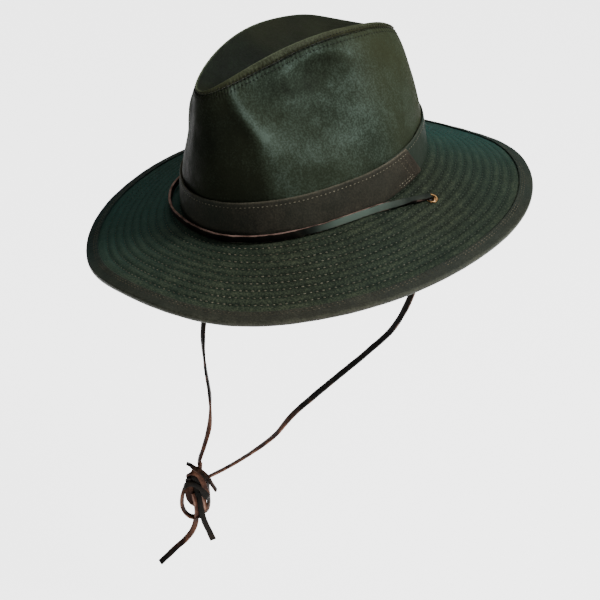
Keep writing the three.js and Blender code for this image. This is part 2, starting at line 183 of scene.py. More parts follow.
# %% [markdown]
# ## Floor and light
# The photograph has a plain white ground. A wide pale floor below the laces gives that. As on a
# studio's lit table, a pool of the floor glows behind the hat, where the camera looks, and not in
# front of it, where its light would wash out the dark cloth. The key lamp stands on the right, so
# that the side of the crown shines and its front stays dark; the other two only open the shadows.

# %% Floor and lights
FLOOR_HEIGHT, FLOOR_SIZE = -0.46, 30
GLOW = {
    "strength": 3.4, "middle": (-1.28, 1.24, 0), "turn": 135.9, "half_length": 1.8,
    "half_width": 1.05, "fade": 1.25, "least": 0.05,
}
LAMPS = {  # place, size and power
    "key_lamp": ((1.85, 0.7, 1.5), 0.8, 62),
    "fill_lamp": ((1.6, -1.9, 1.3), 1.6, 3),
    "top_lamp": ((-0.3, 0.8, 2.5), 1.6, 20),
}
LAMPS_AIM = Vector((0, 0, 0.03))
WORLD_LIGHT = 0.1


def lit_paper():
    """White paper with a long, oval, glowing pool in it."""
    paper = Finish("lit_white_paper", {"Roughness": 0.9, "Emission Strength": GLOW["strength"]})
    pool = paper.node("Mapping", {"vector_type": "TEXTURE"}, {
        "Vector": paper.place(), "Location": GLOW["middle"],
        "Rotation": (0, 0, math.radians(GLOW["turn"])),
        "Scale": (GLOW["half_length"], GLOW["half_width"], 1),
    })
    distance = paper.node("VectorMath", {"operation": "LENGTH"}, {0: pool}, output="Value")
    glow = paper.ramp(distance, 1.0, GLOW["fade"], 1.0, GLOW["least"])
    paper.fill(paper.shader.inputs["Emission Color"], glow)
    return paper.end((0.9, 0.9, 0.9, 1))


bpy.ops.mesh.primitive_plane_add(size=FLOOR_SIZE, location=(0, 0, FLOOR_HEIGHT))
floor = bpy.context.object
floor.name = "studio_floor"
floor.data.materials.append(lit_paper())

for name, (place, size, power) in LAMPS.items():
    bpy.ops.object.light_add(type="AREA", location=place)
    lamp = bpy.context.object
    lamp.name = name
    lamp.data.size = size
    lamp.data.energy = power
    lamp.rotation_euler = (LAMPS_AIM - Vector(place)).to_track_quat("-Z", "Y").to_euler()

world = bpy.data.worlds.new("studio")
world.use_nodes = True
sky = world.node_tree.nodes["Background"]
sky.inputs["Color"].default_value = (1, 1, 1, 1)
sky.inputs["Strength"].default_value = WORLD_LIGHT
bpy.context.scene.world = world
print("floor", FLOOR_HEIGHT, "m below the head opening")

# %% [markdown]
# ## The hat's own frame
# The hat is tipped forward as a whole, so its cloth is easiest to describe level, in millimetres,
# and to tip at the very end. The helper below takes rows of level points and returns them
# upright, in metres. A second helper turns a flat grid into a piece of cloth: every corner of the
# grid knows how far round the hat and how far up the cloth it lies, which also gives the piece a
# UV map that seams and stitches can follow.

# %% Level points to upright ones, and a grid that becomes cloth
TIP = math.radians(12.6)
SAME_PLACE = 0.02 * MM
# The cloth's unevenness: how broad its ripples are and how high, in millimetres, and their seed.
RIPPLES = {
    "crown": (34, 1.1, 1), "crown_fine": (15, 0.35, 2), "tip": (26, 1.2, 3), "brim": (20, 0.25, 4),
    "binding": (12, 0.3, 5), "band": (18, 0.45, 6), "band_fine": (7, 0.15, 7),
}


def upright(points):
    """Tips level points in millimetres forward about the X axis, and gives them in metres."""
    points = np.asarray(points, float)
    x, y, z = points[..., 0], points[..., 1], points[..., 2]
    tipped = [x, y * math.cos(TIP) - z * math.sin(TIP), y * math.sin(TIP) + z * math.cos(TIP)]
    return np.stack(tipped, -1) * MM


def smooth(value, low, high):
    """A soft step from 0 at low to 1 at high."""
    t = np.clip((value - low) / (high - low), 0, 1)
    return t * t * (3 - 2 * t)


def only(piece):
    """Deselects all and makes one piece the selected and active one."""
    bpy.ops.object.select_all(action="DESELECT")
    piece.select_set(True)
    bpy.context.view_layer.objects.active = piece


def corners(piece):
    flat = np.empty(len(piece.data.vertices) * 3)
    piece.data.vertices.foreach_get("co", flat)
    return flat.reshape(-1, 3)


def set_corners(piece, points):
    piece.data.vertices.foreach_set("co", np.asarray(points, float).ravel())
    piece.data.update()


def edited(piece, operator, **settings):
    """Runs one edit-mode operator on the whole of a piece."""
    only(piece)
    bpy.ops.object.mode_set(mode="EDIT")
    bpy.ops.mesh.select_all(action="SELECT")
    operator(**settings)
    bpy.ops.object.mode_set(mode="OBJECT")


def merged(piece):
    """Joins corners that lie on each other, as at a seam or a pole."""
    edited(piece, bpy.ops.mesh.remove_doubles, threshold=SAME_PLACE)


def turned_outwards(piece, closed):
    """Turns the faces outwards: by Blender's rule if closed, or else away from the head."""
    edited(piece, bpy.ops.mesh.normals_make_consistent, inside=False)
    if not closed:
        away = sum(f.normal.dot(f.center) * f.area for f in piece.data.polygons)
        if away < 0:
            piece.data.flip_normals()


def cloth(name, columns, rows, place, closed=False):
    """A grid whose corners go where place(round, up) says; both arguments run from 0 to 1."""
    bpy.ops.object.select_all(action="DESELECT")
    bpy.ops.mesh.primitive_grid_add(x_subdivisions=columns, y_subdivisions=rows, size=2)
    piece = bpy.context.object
    piece.name = name
    flat = corners(piece)
    set_corners(piece, upright(place((flat[:, 0] + 1) / 2, (flat[:, 1] + 1) / 2)))
    merged(piece)
    turned_outwards(piece, closed)
    bpy.ops.object.shade_smooth()
    return piece


def applied(piece, kind, **settings):
    """Adds a modifier, sets it and applies it."""
    only(piece)
    modifier = piece.modifiers.new(kind.lower(), kind)
    for key, value in settings.items():
        setattr(modifier, key, value)
    bpy.ops.object.modifier_apply(modifier=modifier.name)


def thickened(piece, thickness):
    """Gives a sheet its thickness in millimetres, on its inner side."""
    applied(piece, "SOLIDIFY", thickness=thickness * MM, offset=-1, use_even_offset=True)


def ripples(points, size, height, seed):
    """Soft, repeatable unevenness for each point, in millimetres."""
    shift = Vector((seed * 17.3, seed * 5.1, seed * 9.7))
    return np.array([noise.noise(Vector(p) / size + shift) for p in points]) * height


def spot(value, centre, width):
    """A soft bump of height 1 round a centre."""
    return np.exp(-(((value - centre) / width) ** 2))


def facing(round_, degrees, width):
    """How nearly a place round the hat faces a direction; the wearer's left is 0 degrees."""
    apart = (round_ * 360 - degrees + 180) % 360 - 180
    return spot(apart, 0, width)


def stored(piece, name, values):
    """Stores a number for each corner of a piece, or one for all, which its finish can read."""
    store = piece.data.attributes.new(name, "FLOAT", "POINT")
    values = np.broadcast_to(np.clip(values, 0, 1), len(store.data))
    store.data.foreach_set("value", values.astype(np.float32))


def table(columns, *rows):
    """Rows as dictionaries, with the columns named only once."""
    return [dict(zip(columns.split(), row)) for row in rows]


def unit(vectors):
    return vectors / np.linalg.norm(vectors, axis=-1, keepdims=True)


def made(name, points, faces):
    """A new piece from points in metres and the faces between them."""
    mesh = bpy.data.meshes.new(name)
    mesh.from_pydata(points.reshape(-1, 3).tolist(), [], faces)
    piece = bpy.data.objects.new(name, mesh)
    bpy.context.collection.objects.link(piece)
    return piece


def worn(piece, node, finish):
    """The last step of a piece: it rides on the hat, stands for its solid and takes its finish."""
    piece.data.materials.clear()
    piece.data.materials.append(finish)
    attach(piece, "root")
    if node:
        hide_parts(node)
    print(piece.name, "has", len(piece.data.polygons), "faces")


# %% [markdown]
# ## The shape of the crown
# The crown's foot is an oval that fits a head, and its top edge is a pear-shaped crest, full at
# the back and narrow at the front, where the wall is drawn in between thumb and fingers. The wall
# runs from one to the other. Hollows and creases are soft bumps on it, one row each in a table,
# because cloth that is pushed in by hand has no sharp outline.

# %% Crown: crest and wall
CROWN = {"half_width": 85.2, "half_length": 103.2, "cloth": 1.6}
CREST = {
    "front": 82.4, "back": 100.6, "half_width": 39.4, "rear_fullness": 0.3, "roundness": 0.9,
    "height": 116, "rear_fall": 11.7, "end_fall": 22.8, "lean": 4.2,
    "shoulder": 1.5, "shoulder_angle": 36, "shoulder_width": 15,
}
# The wall leans in by a power of the share: the higher the power, the nearer the crest it leans.
LEAN = {"side": 2.2, "rearwards": 1.45, "curve": 0.6}
# Where the tip is sewn to the wall: the share of the height, by the angle from the side.
SEAM_LINE = {-90: 0.976, -70: 0.967, -50: 0.955, -30: 0.948, -3: 0.961, 22: 0.97, 90: 0.966}
DENTS = table(
    "angle share wide tall slant depth",
    (-21, 0.66, 25, 0.22, 0, 6.5),  # side hollow
    (-10, 0.79, 14, 0.12, 0, 7),  # finger dent
    (-36, 0.88, 5, 0.04, 0, 1.0),  # small dent
    (-51, 0.72, 6, 0.26, -28, -2.8),  # front fold
    (-66, 0.62, 11, 0.26, -10, 1.6),  # front hollow
    (34, 0.5, 14, 0.25, 0, 1.2),  # rear hollow
)
# The dents fade out below the crest, by shares of the wall's height.
DENTS_END, DENTS_FADE = 0.99, 0.1


def side_angle(angle):
    """A plan angle in degrees, counted on both sides from -90 at the front to 90 at the back."""
    return np.degrees(np.arctan2(np.sin(angle), np.abs(np.cos(angle))))


def seam_share(angle):
    return np.interp(side_angle(angle), list(SEAM_LINE), list(SEAM_LINE.values()))


def crest(angle):
    """A point of the crest, for a plan angle in radians."""
    across, along = np.cos(angle), np.sin(angle)
    middle = (CREST["back"] - CREST["front"]) / 2
    reach = (CREST["back"] + CREST["front"]) / 2
    width = np.sign(across) * np.abs(across) ** CREST["roundness"]
    shoulder = (side_angle(angle) - CREST["shoulder_angle"]) / CREST["shoulder_width"]
    fall = CREST["rear_fall"] * along + CREST["end_fall"] * along**2
    return np.stack([
        CREST["half_width"] * width * (1 + CREST["rear_fullness"] * along),
        middle + reach * along,
        CREST["height"] - fall + CREST["lean"] * across + CREST["shoulder"] * np.exp(-shoulder**2),
    ], -1)


def dent_depth(angle, share):
    depth = np.zeros(np.broadcast(angle, share).shape)
    for dent in DENTS:
        above = share - dent["share"]
        a = (side_angle(angle) - dent["angle"] - dent["slant"] * above) / dent["wide"]
        s = above / dent["tall"]
        depth = depth + dent["depth"] * np.exp(-a * a - s * s)
    return depth * np.clip((DENTS_END - share) / DENTS_FADE, 0, 1)


def wall(angle, share):
    """The outside of the crown's wall, from its foot at share 0 to the crest at share 1."""
    top = crest(angle)
    along = np.sin(angle)
    power = LEAN["side"] + LEAN["rearwards"] * along + LEAN["curve"] * along**2
    drawn = (share**power)[..., None]
    foot = [CROWN["half_width"] * np.cos(angle), CROWN["half_length"] * np.sin(angle)]
    foot = np.stack(foot, -1)
    plan = foot * (1 - drawn) + top[..., :2] * drawn
    inward = -foot / np.linalg.norm(foot, axis=-1, keepdims=True)
    plan = plan + inward * dent_depth(angle, share)[..., None]
    return np.concatenate([plan, (top[..., 2] * share)[..., None]], -1)


def normal_of(surface, angle, share, step=0.004):
    """The outward normal of a surface that is given as a function of angle and share."""
    around = surface(angle + step, share) - surface(angle - step, share)
    up = surface(angle, np.minimum(share + step, 1)) - surface(angle, np.maximum(share - step, 0))
    return unit(np.cross(around, up))


def raised(surface, angle, share, height):
    """A point of a surface, lifted off it along its normal."""
    lift = np.broadcast_to(np.asarray(height, float), np.broadcast(angle, share).shape)
    return surface(angle, share) + normal_of(surface, angle, share) * lift[..., None]


heights = [round(float(crest(np.radians(degrees))[2]), 1) for degrees in (-90, 0, 90)]
print("crest height, front / side / back:", heights)

# %% [markdown]
# ## The shape of the brim
# The brim is a sloping ring round the crown's foot. It falls least at the front and most at the
# back, which a short table says, and it bellies a little between the crown and the edge.

# %% Brim: its upper face
BRIM = {"half_width": 85.5, "half_length": 103.5, "width": 79, "thickness": 2.2, "belly": 0.1}
# How far the edge falls, by the angle from the side.
FALLS = {-90: 8, -60: 18, -30: 22, 0: 26.5, 30: 34.5, 60: 40.5, 90: 47.5}


def brim_fall(angle):
    """How far the edge falls: a smooth curve through the table, alike on both sides."""
    falls = list(FALLS.values())
    last = len(falls) - 1
    place = (side_angle(angle) + 90) / 180 * last
    row = np.clip(np.floor(place).astype(int), 0, last - 1)
    t = place - row
    falls = np.array([falls[1], *falls, falls[-2]], float)
    before, here, after, beyond = (falls[row + k] for k in range(4))
    slope_here, slope_after = (after - before) / 2, (beyond - here) / 2
    rise = 3 * (after - here) - 2 * slope_here - slope_after
    curve = 2 * (here - after) + slope_here + slope_after
    return here + slope_here * t + rise * t**2 + curve * t**3


def brim_face(angle, share):
    """The brim's upper face, from the crown at share 0 to the edge at share 1."""
    out = BRIM["width"] * share
    return np.stack([
        (BRIM["half_width"] + out) * np.cos(angle),
        (BRIM["half_length"] + out) * np.sin(angle),
        -brim_fall(angle) * share * (1 + BRIM["belly"] * (1 - share)),
    ], -1)


print("brim falls", round(float(brim_fall(np.radians(-60))), 1), "mm at the front quarter")

# %% [markdown]
# ## Waxed cotton
# Waxed cotton is a dense plain weave under a soft film of wax. It is mottled at three scales:
# broad stains, cloudy smears where the wax was rubbed, and the fine grain of the threads. A
# number on each corner makes the cloth paler or darker: partly where wax is rubbed off, partly
# painted light, with painted highlights on folds and lips and painted shade in hollows and
# grooves. A second number mixes in a stain colour, which on the brim and the binding is a teal
# painted sheen. One function makes the crown, brim, band and binding cloth, with its own colours
# for each.

# %% Waxed cotton
def waxed_cotton(
    name, deep, body, pale, stain_and_sheen_colour, rough=0.6, shine=0.1, beats=0, blotches=0.25, grit=0.2
):
    """The cloth's finish; beats is the number of puckers round a piece, where it is sewn."""
    finish = Finish(name, {"Specular IOR Level": shine})
    broad = finish.ramp(finish.noise(9, 2), 0.38, 0.62)
    patch = finish.ramp(finish.noise(48, 3, 0.6, distortion=0.4), 0.34, 0.68)
    smear = finish.ramp(finish.noise(190, 4, 0.65, finish.stretched((1, 1, 0.5))), 0.34, 0.7)
    speckle = finish.ramp(finish.noise(760, 2, 0.6), 0.38, 0.66)
    weave_along = finish.noise(1500, 1, 0.5, finish.stretched((1, 1, 0.12)))
    weave_across = finish.noise(1500, 1, 0.5, finish.stretched((0.12, 0.12, 1)))
    # Paleness by a corner's number: partly wax rubbed off, partly painted highlight and painted
    # shade.
    wear_and_light = finish.attribute("wear_and_painted_light")
    uneven = (patch - 0.5) * 0.14 + (smear - 0.5) * 0.1 + (speckle - 0.5) * grit
    base = finish.mix(deep, body, finish.ramp(wear_and_light + uneven, 0.0, 0.5))
    base = finish.mix(base, pale, finish.ramp(wear_and_light + uneven, 0.35, 1.0))
    # Stains, and on the brim and the binding a teal painted sheen, mixed in by a corner's number.
    base = finish.mix(base, stain_and_sheen_colour, broad * blotches + finish.attribute("stain_and_painted_sheen") * 0.75)
    roughness = rough + (smear - 0.5) * 0.16 + (speckle - 0.5) * 0.08
    grain = weave_along + weave_across
    heights = [(smear, 0.12), (speckle, 0.4 * grit), (grain, 0.08)]
    if beats:
        around = finish.node("SeparateXYZ", None, {"Vector": finish.node("UVMap")})
        puckers = (around * (beats * 2 * math.pi)).math("SINE")
        heights.append((puckers * finish.attribute("sewn"), 0.3))
    return finish.end(base, roughness, heights)


# The fourth colour is for stains; on the brim and the binding it is the teal of a painted sheen.
CLOTH = {
    "crown": waxed_cotton(
        "crown_cotton", "191D17", "333D32", "64756B", "3A3D29", shine=0.03, beats=150
    ),
    "tip": waxed_cotton("tip_cotton", "10140E", "1E271C", "66705A", "3E3F28", beats=150),
    "brim": waxed_cotton(
        "brim_cotton", "1E241B", "2F372B", "555B47", "264C46", rough=0.66, blotches=0.08, grit=0.4
    ),
    "band": waxed_cotton("band_cotton", "2B2822", "453F36", "6E6858", "2D3A31", rough=0.66),
    "binding": waxed_cotton(
        "binding_cotton", "24251F", "37372D", "5C5C4D", "1F332F", rough=0.55, shine=0.15
    ),
}
print("cloth finishes:", ", ".join(CLOTH))

# %% [markdown]
# ## The leather
# The lace is cut from oiled leather. Its two faces are dyed nearly black and are a little shiny,
# and its cut edges show the raw, pinkish tan middle of the hide. Towards the knot, where hands
# pull it, the dye has gone and the lace is brown. Beside the crown on the wearer's left, a pale
# grey-green painted sheen lies on the lace's upturned face. Three numbers that the lace's corners
# carry, raw, worn and the painted sheen, tell the finish where these are. The creases run across
# the lace, so they are drawn in its UV map.

# %% Leather and copper
def oiled_leather():
    finish = Finish("oiled_leather", {"Specular IOR Level": 0.05})
    along = finish.node("Mapping", None, {"Vector": finish.node("UVMap"), "Scale": (14, 260, 1)})
    creases = finish.noise(1.0, 3, 0.6, along)
    patches = finish.ramp(finish.noise(90, 3, 0.6), 0.35, 0.68)
    grain = finish.noise(900, 2, 0.6)
    raw = finish.ramp(finish.attribute("raw") + (patches - 0.5) * 0.5, 0.3, 0.85)
    worn_off = finish.ramp(finish.attribute("worn") + (patches - 0.5) * 0.35, 0.1, 0.9)
    face = finish.mix("0B0A08", "1C1712", patches)
    bare = finish.mix("38211A", "664535", patches)
    base = finish.mix(face, bare, worn_off)
    edge = finish.mix("84695E", "B09084", patches)
    base = finish.mix(base, edge, raw * (0.8 - 0.35 * worn_off))
    # Painted sheen: a pale grey-green over the lace's face beside the crown.
    painted_sheen = finish.attribute("painted_sheen") + (patches - 0.5) * 0.1
    base = finish.mix(base, "5C6A60", finish.ramp(painted_sheen, 0.05, 0.95))
    roughness = 0.5 + raw * 0.3 + worn_off * 0.15 + (patches - 0.5) * 0.12
    return finish.end(base, roughness, [(creases, 0.12), (grain, 0.05), (raw * grain, 0.1)])


def aged_copper():
    finish = Finish("aged_copper", {"Metallic": 1.0})
    tarnish = finish.ramp(finish.noise(260, 4, 0.65), 0.35, 0.7)
    scratches = finish.noise(1.0, 2, 0.5, finish.stretched((300, 2600, 900)))
    base = finish.mix("DDAA70", "6A4529", tarnish * 0.6)
    return finish.end(base, 0.24 + tarnish * 0.3, [(scratches, 0.02), (tarnish, 0.03)])


LEATHER = oiled_leather()
COPPER = aged_copper()

# %% [markdown]
# ## Where the lace runs
# The lace's routes are lists of points, each with the direction in which the flat lace's
# width points there. Both ends
# of the crown lace turn down through the eyelets, so their first points are worked out from the
# brim.

# %% Routes
LACE = {"width": 5.5, "thickness": 2.2, "corner": 0.7}
EYELET = {
    "angle": 12.9, "share": 0.27,
    "hole": 3.3, "barrel": 4.0, "flange": 4.9, "lip": 0.8, "gap": 0.3, "round": 0.3,
}
UP = (0, 0, 1)
CROWN_LACE = [
    (-101, 9, -2.2), (-98.2, -1, -0.8), (-91.5, -21, 1.6), (-84.5, -48, 2), (-74.5, -71.5, 2.3),
    (-61, -87, 2.5), (-43, -98.7, 2.8), (-22, -105.1, 2.9), (0, -107.6, 2.9), (22, -105.4, 2.9),
    (43, -95.6, 2.9), (61, -78.9, 2.8), (74.5, -58.3, 2.6), (83.2, -38.5, 2.4), (90.5, -17, 1.5),
    (97.2, 1, -0.6), (100.3, 10.5, -2.2),
]
# The way up through an eyelet: how far before its axis, and how far above the brim's face.
EYELET_PASS = [(0, -6.9), (0, -2), (0.6, 1.2), (2.6, 3), (7, 2.9)]
SIDES = {"left": 1, "right": -1}
# How far the lace leans in on its way round the crown: degrees, and from where to where along Y.
LEANS = [(15, -95, -50), (65, -10, 14)]
# Each row of a hanging lace: its middle, then the direction of its width.
LEFT_LACE = [
    ((98.8, 30.4, -19), (-0.96, 0.28, 0.04)), ((97.3, 29, -45), (-0.98, 0.15, 0.1)),
    ((92.6, 24, -82), (-0.97, 0.1, 0.25)), ((79, 20, -113), (-0.81, 0.43, 0.41)),
    ((60, 15, -137), (-0.69, 0.56, 0.46)), ((36, 9, -164), (-0.71, 0.46, 0.54)),
    ((11, 3, -192), (-0.73, 0.41, 0.55)), ((-12, -3, -219), (-0.76, 0.4, 0.51)),
    ((-29, -8, -244), (-0.61, 0.72, 0.34)), ((-53, -14, -269), (-0.42, 0.88, 0.2)),
    ((-77, -20, -291), (-0.38, 0.91, 0.14)), ((-98.9, -27.2, -309), (-0.36, 0.93, 0.07)),
]
RIGHT_LACE = [
    ((-98.8, 30, -19), (0.95, -0.31, 0)), ((-100.5, 25, -45), (0.97, -0.2, -0.06)),
    ((-106, 12, -85), (0.99, -0.1, -0.1)), ((-111, -1, -125), (0.99, 0, -0.1)),
    ((-113.3, -10.5, -155), (0.99, 0.05, -0.07)), ((-113, -14.5, -176), (0.98, -0.1, 0.1)),
    ((-108, -17, -204), (0.65, -0.74, 0.14)), ((-103, -17, -232), (0.55, -0.82, 0.11)),
    ((-101, -20, -258), (0.98, -0.15, 0.02)), ((-103, -26, -280), (0.94, -0.35, 0)),
    ((-104.8, -29.4, -291), (0.9, -0.44, -0.01)), ((-105.2, -30, -297), (0.93, -0.35, -0.03)),
]
BLACK_TAIL = [
    ((-103.4, -32.8, -323.8), (0.7, 0.71, 0.07)), ((-102.5, -32.8, -333.4), (0.66, 0.75, 0.08)),
    ((-102.1, -32.1, -342.4), (0.62, 0.77, 0.13)), ((-101.4, -30.3, -352.8), (0.55, 0.8, 0.25)),
    ((-99.8, -27.2, -363.2), (0.53, 0.78, 0.33)), ((-97, -23.3, -376.2), (0.55, 0.76, 0.35)),
]
BROWN_TAIL = [
    ((-105.5, -35.2, -348.4), (0.98, -0.13, -0.15)),
    ((-106.3, -35.1, -353.7), (0.98, 0.07, -0.21)),
    ((-108.1, -35.5, -360.8), (0.93, 0.18, -0.32)), ((-111, -37.6, -368.6), (0.89, 0.09, -0.45)),
    ((-115.2, -41.2, -376.1), (0.85, -0.01, -0.52)), ((-120, -46, -383.3), (0.85, -0.04, -0.53)),
    ((-125.4, -51.4, -391.5), (0.85, -0.03, -0.53)),
    ((-132.4, -58.4, -402.4), (0.85, -0.03, -0.53)),
]


def eyelet_place(side):
    """The middle of an eyelet on the brim's face, and its axis, both in the level frame."""
    around = math.radians(EYELET["angle"])
    angle = np.array(around if side > 0 else math.pi - around)
    share = np.array(EYELET["share"])
    return brim_face(angle, share), -normal_of(brim_face, angle, share, step=0.01)


def eyelet_rows(side):
    """Level points up through an eyelet and on towards the crown, with the lace's width there."""
    place, axis = eyelet_place(side)
    onward = np.array(CROWN_LACE[-1] if side > 0 else CROWN_LACE[0]) - place
    away = unit(onward - axis * (onward @ axis))
    across = np.cross(away, axis) * side
    return [(place + away * before + axis * above, across) for before, above in EYELET_PASS]


def leaning(at):
    """The width's direction round the crown: upright in front, and nearly flat at the eyelet."""
    inward = -unit(np.array([at[0], at[1], 0]))
    lean = math.radians(sum(turn * smooth(at[1], start, end) for turn, start, end in LEANS))
    return inward * math.sin(lean) + np.array(UP) * math.cos(lean)


def crown_lace_rows():
    """The crown lace's rows in metres, up through one eyelet and down through the other."""
    round_crown = [(at, leaning(at)) for at in CROWN_LACE]
    rows = [*eyelet_rows(SIDES["right"]), *round_crown, *eyelet_rows(SIDES["left"])[::-1]]
    return [(upright(at), upright(across) / MM) for at, across in rows]


def hanging_rows(side, route):
    """A chin lace's rows in metres: it takes over from the crown lace just below the eyelet."""
    (foot, across), (above, _) = eyelet_rows(side)[:2]
    start = upright(foot)
    down = unit(start - upright(above))
    lengths = (EYELET["gap"], LACE["thickness"])
    first = [(start + down * length * MM, upright(across) / MM) for length in lengths]
    return first + standing_rows(route)


def standing_rows(route):
    """The rows of a lace that is given upright, in metres."""
    return [(np.array(at) * MM, np.array(across)) for at, across in route]


print("left eyelet at", [round(float(x), 1) for x in eyelet_place(1)[0]], "in the level hat")

# %% [markdown]
# ## A strip along a route
# A smooth curve goes through the points of a route, and the lace's flat, rounded section is
# carried along it. Hand-cut lace is never quite even, so its width and thickness wander by a few
# tenths of a millimetre. The same function makes open strips with closed ends and rings that meet
# themselves.

# %% Curve and strip
CURVE_STEPS = 16  # in each stretch between two points
# How the lace's width, thickness and middle wander: over what length, and how far.
UNEVEN = {"width": (9, 0.07), "thickness": (7, 0.1), "middle": (11, 0.25)}
# The rounded corner of the lace's section: degrees round it, and how raw the leather is there.
SECTION_TURNS = ((0, 1), (30, 0.85), (60, 0.3), (90, 0))
CROWNED = 0.08  # how far the middle of each face stands up


def through(points, ring):
    """A centripetal Catmull-Rom curve through the points, with equal steps in each stretch."""
    points = np.asarray(points, float)
    if ring:
        line = np.vstack([points[-1:], points, points[:2]])
    else:
        line = np.vstack([[2 * points[0] - points[1]], points, [2 * points[-1] - points[-2]]])
    t = np.arange(CURVE_STEPS)[:, None] / CURVE_STEPS
    curve = []
    for before, here, after, beyond in zip(line, line[1:], line[2:], line[3:]):
        stretches = ((before, here), (here, after), (after, beyond))
        first, middle, last = (math.sqrt(np.linalg.norm(b - a)) for a, b in stretches)
        straight = (after - here) / middle
        leave = (here - before) / first - (after - before) / (first + middle) + straight
        reach = straight - (beyond - here) / (middle + last) + (beyond - after) / last
        leave, reach = leave * middle, reach * middle
        bend = 3 * (after - here) - 2 * leave - reach
        twist = 2 * (here - after) + leave + reach
        curve.append(here + leave * t + bend * t**2 + twist * t**3)
    return np.vstack(curve if ring else [*curve, points[-1:]])


def columns_at(places, known, columns):
    """Reads every column of an array at new places between the known ones."""
    return np.stack([np.interp(places, known, column) for column in columns.T], -1)


def run_of(points):
    """How far along a line each of its points lies."""
    return np.concatenate([[0], np.cumsum(np.linalg.norm(np.diff(points, axis=0), axis=1))])


def lace_section(width, thickness, corner):
    """The lace's outline, its right half and then its left: across, through, raw."""
    rows = [(width / 2, 0, 1)]
    for turn, raw in SECTION_TURNS:
        a = math.radians(turn)
        side = width / 2 - corner * (1 - math.cos(a))
        top = thickness / 2 - corner * (1 - math.sin(a))
        rows.append((side, top, raw))
    rows.append((0, thickness / 2 + CROWNED, 0))
    right = np.array(rows)
    upper = np.vstack([right, right[-2:0:-1] * (-1, 1, 1)])
    return np.vstack([upper, upper * (-1, -1, 1)])


def along_lace(rows, spacing, ring):
    """Even points along the rows' curve, the lace's direction and width there, and its length."""
    points = through([at for at, _ in rows], ring)
    hints = np.array([across for _, across in rows] + ([rows[0][1]] if ring else []))
    widths = columns_at(np.arange(len(points)) / CURVE_STEPS, np.arange(len(hints)), hints)
    if ring:
        points, widths = np.vstack([points, points[:1]]), np.vstack([widths, widths[:1]])
    run = run_of(points)
    places = np.linspace(0, run[-1], max(4, round(run[-1] / (spacing * MM))) + 1)
    line, across = columns_at(places, run, points), columns_at(places, run, widths)
    if ring:
        line, across = line[:-1], across[:-1]
        tangent = unit(np.roll(line, -1, 0) - np.roll(line, 1, 0))
    else:
        tangent = unit(np.gradient(line, axis=0))
    across = unit(across - tangent * (across * tangent).sum(1, keepdims=True))
    return line, tangent, across, run[-1]


def strip_faces(count, size, ring):
    """The faces between one outline and the next, with a face at each end of an open strip."""
    faces = []
    for i in range(count if ring else count - 1):
        here, onward = i * size, (i + 1) % count * size
        for j in range(size):
            k = (j + 1) % size
            faces.append((here + j, here + k, onward + k, onward + j))
    if not ring:
        faces.append(tuple(range(size))[::-1])
        faces.append(tuple(range((count - 1) * size, count * size)))
    return faces


def strip(name, rows, seed, ring=False, size=LACE, spacing=1.3, raw=1.0):
    """A lace as a mesh strip, with the line that it follows and its length in metres."""
    line, tangent, across, length = along_lace(rows, spacing, ring)
    outline = lace_section(**size)
    broad, thick, drift = (
        ripples(line / MM, *wander, seed + number)[:, None, None]
        for number, wander in enumerate(UNEVEN.values())
    )
    shape = (
        line[:, None]
        + across[:, None] * (outline[:, :1] * (1 + broad) + drift) * MM
        + np.cross(tangent, across)[:, None] * outline[:, 1:2] * (1 + thick) * MM
    )
    count, around = len(line), len(outline)
    piece = made(name, shape, strip_faces(count, around, ring))
    stored(piece, "raw", np.tile(outline[:, 2], count) * raw)
    uv = piece.data.uv_layers.new(name="UVMap").data
    along = np.linspace(0, 1, count) * length
    for loop in piece.data.loops:
        row, place = divmod(loop.vertex_index, around)
        uv[loop.index].uv = (place / around, along[row])
    turned_outwards(piece, closed=True)
    bpy.ops.object.shade_smooth_by_angle(angle=math.radians(50))
    return piece, line, length


# %% Crown lace
# Where along Y the painted sheen is strongest, how far it reaches, and the least of it towards
# the back.
LACE_SHEEN = {"middle": -34, "forward": 27, "back": 25, "least": 0.3}

crown_lace, _, length = strip("crown_lace", crown_lace_rows(), 11)
forward = corners(crown_lace)[:, 1] / MM
on_left = smooth(corners(crown_lace)[:, 0], 0, 0.02)
seen = np.array([max(corner.normal.x, corner.normal.z) for corner in crown_lace.data.vertices])
cut = np.array([corner.value for corner in crown_lace.data.attributes["raw"].data])
ahead = spot(forward, LACE_SHEEN["middle"], LACE_SHEEN["forward"])
behind = LACE_SHEEN["least"] + (1 - LACE_SHEEN["least"]) * spot(forward, LACE_SHEEN["middle"], LACE_SHEEN["back"])
sheen_along_lace = np.where(forward < LACE_SHEEN["middle"], ahead, behind)
# Painted sheen on the faces turned up or towards the wearer's left, away from the raw edges.
stored(crown_lace, "painted_sheen", sheen_along_lace * on_left * smooth(seen, 0.2, 0.5) * (1 - cut))
faded = cut * (1 - 0.75 * smooth(forward, -20, 0))
crown_lace.data.attributes["raw"].data.foreach_set("value", faded)
worn(crown_lace, "crown_lace", LEATHER)
print("the crown lace is", round(length / MM), "mm long")

# %% Hanging laces
HANDLED = 0.35  # how raw the edges look on a lace that hands have darkened
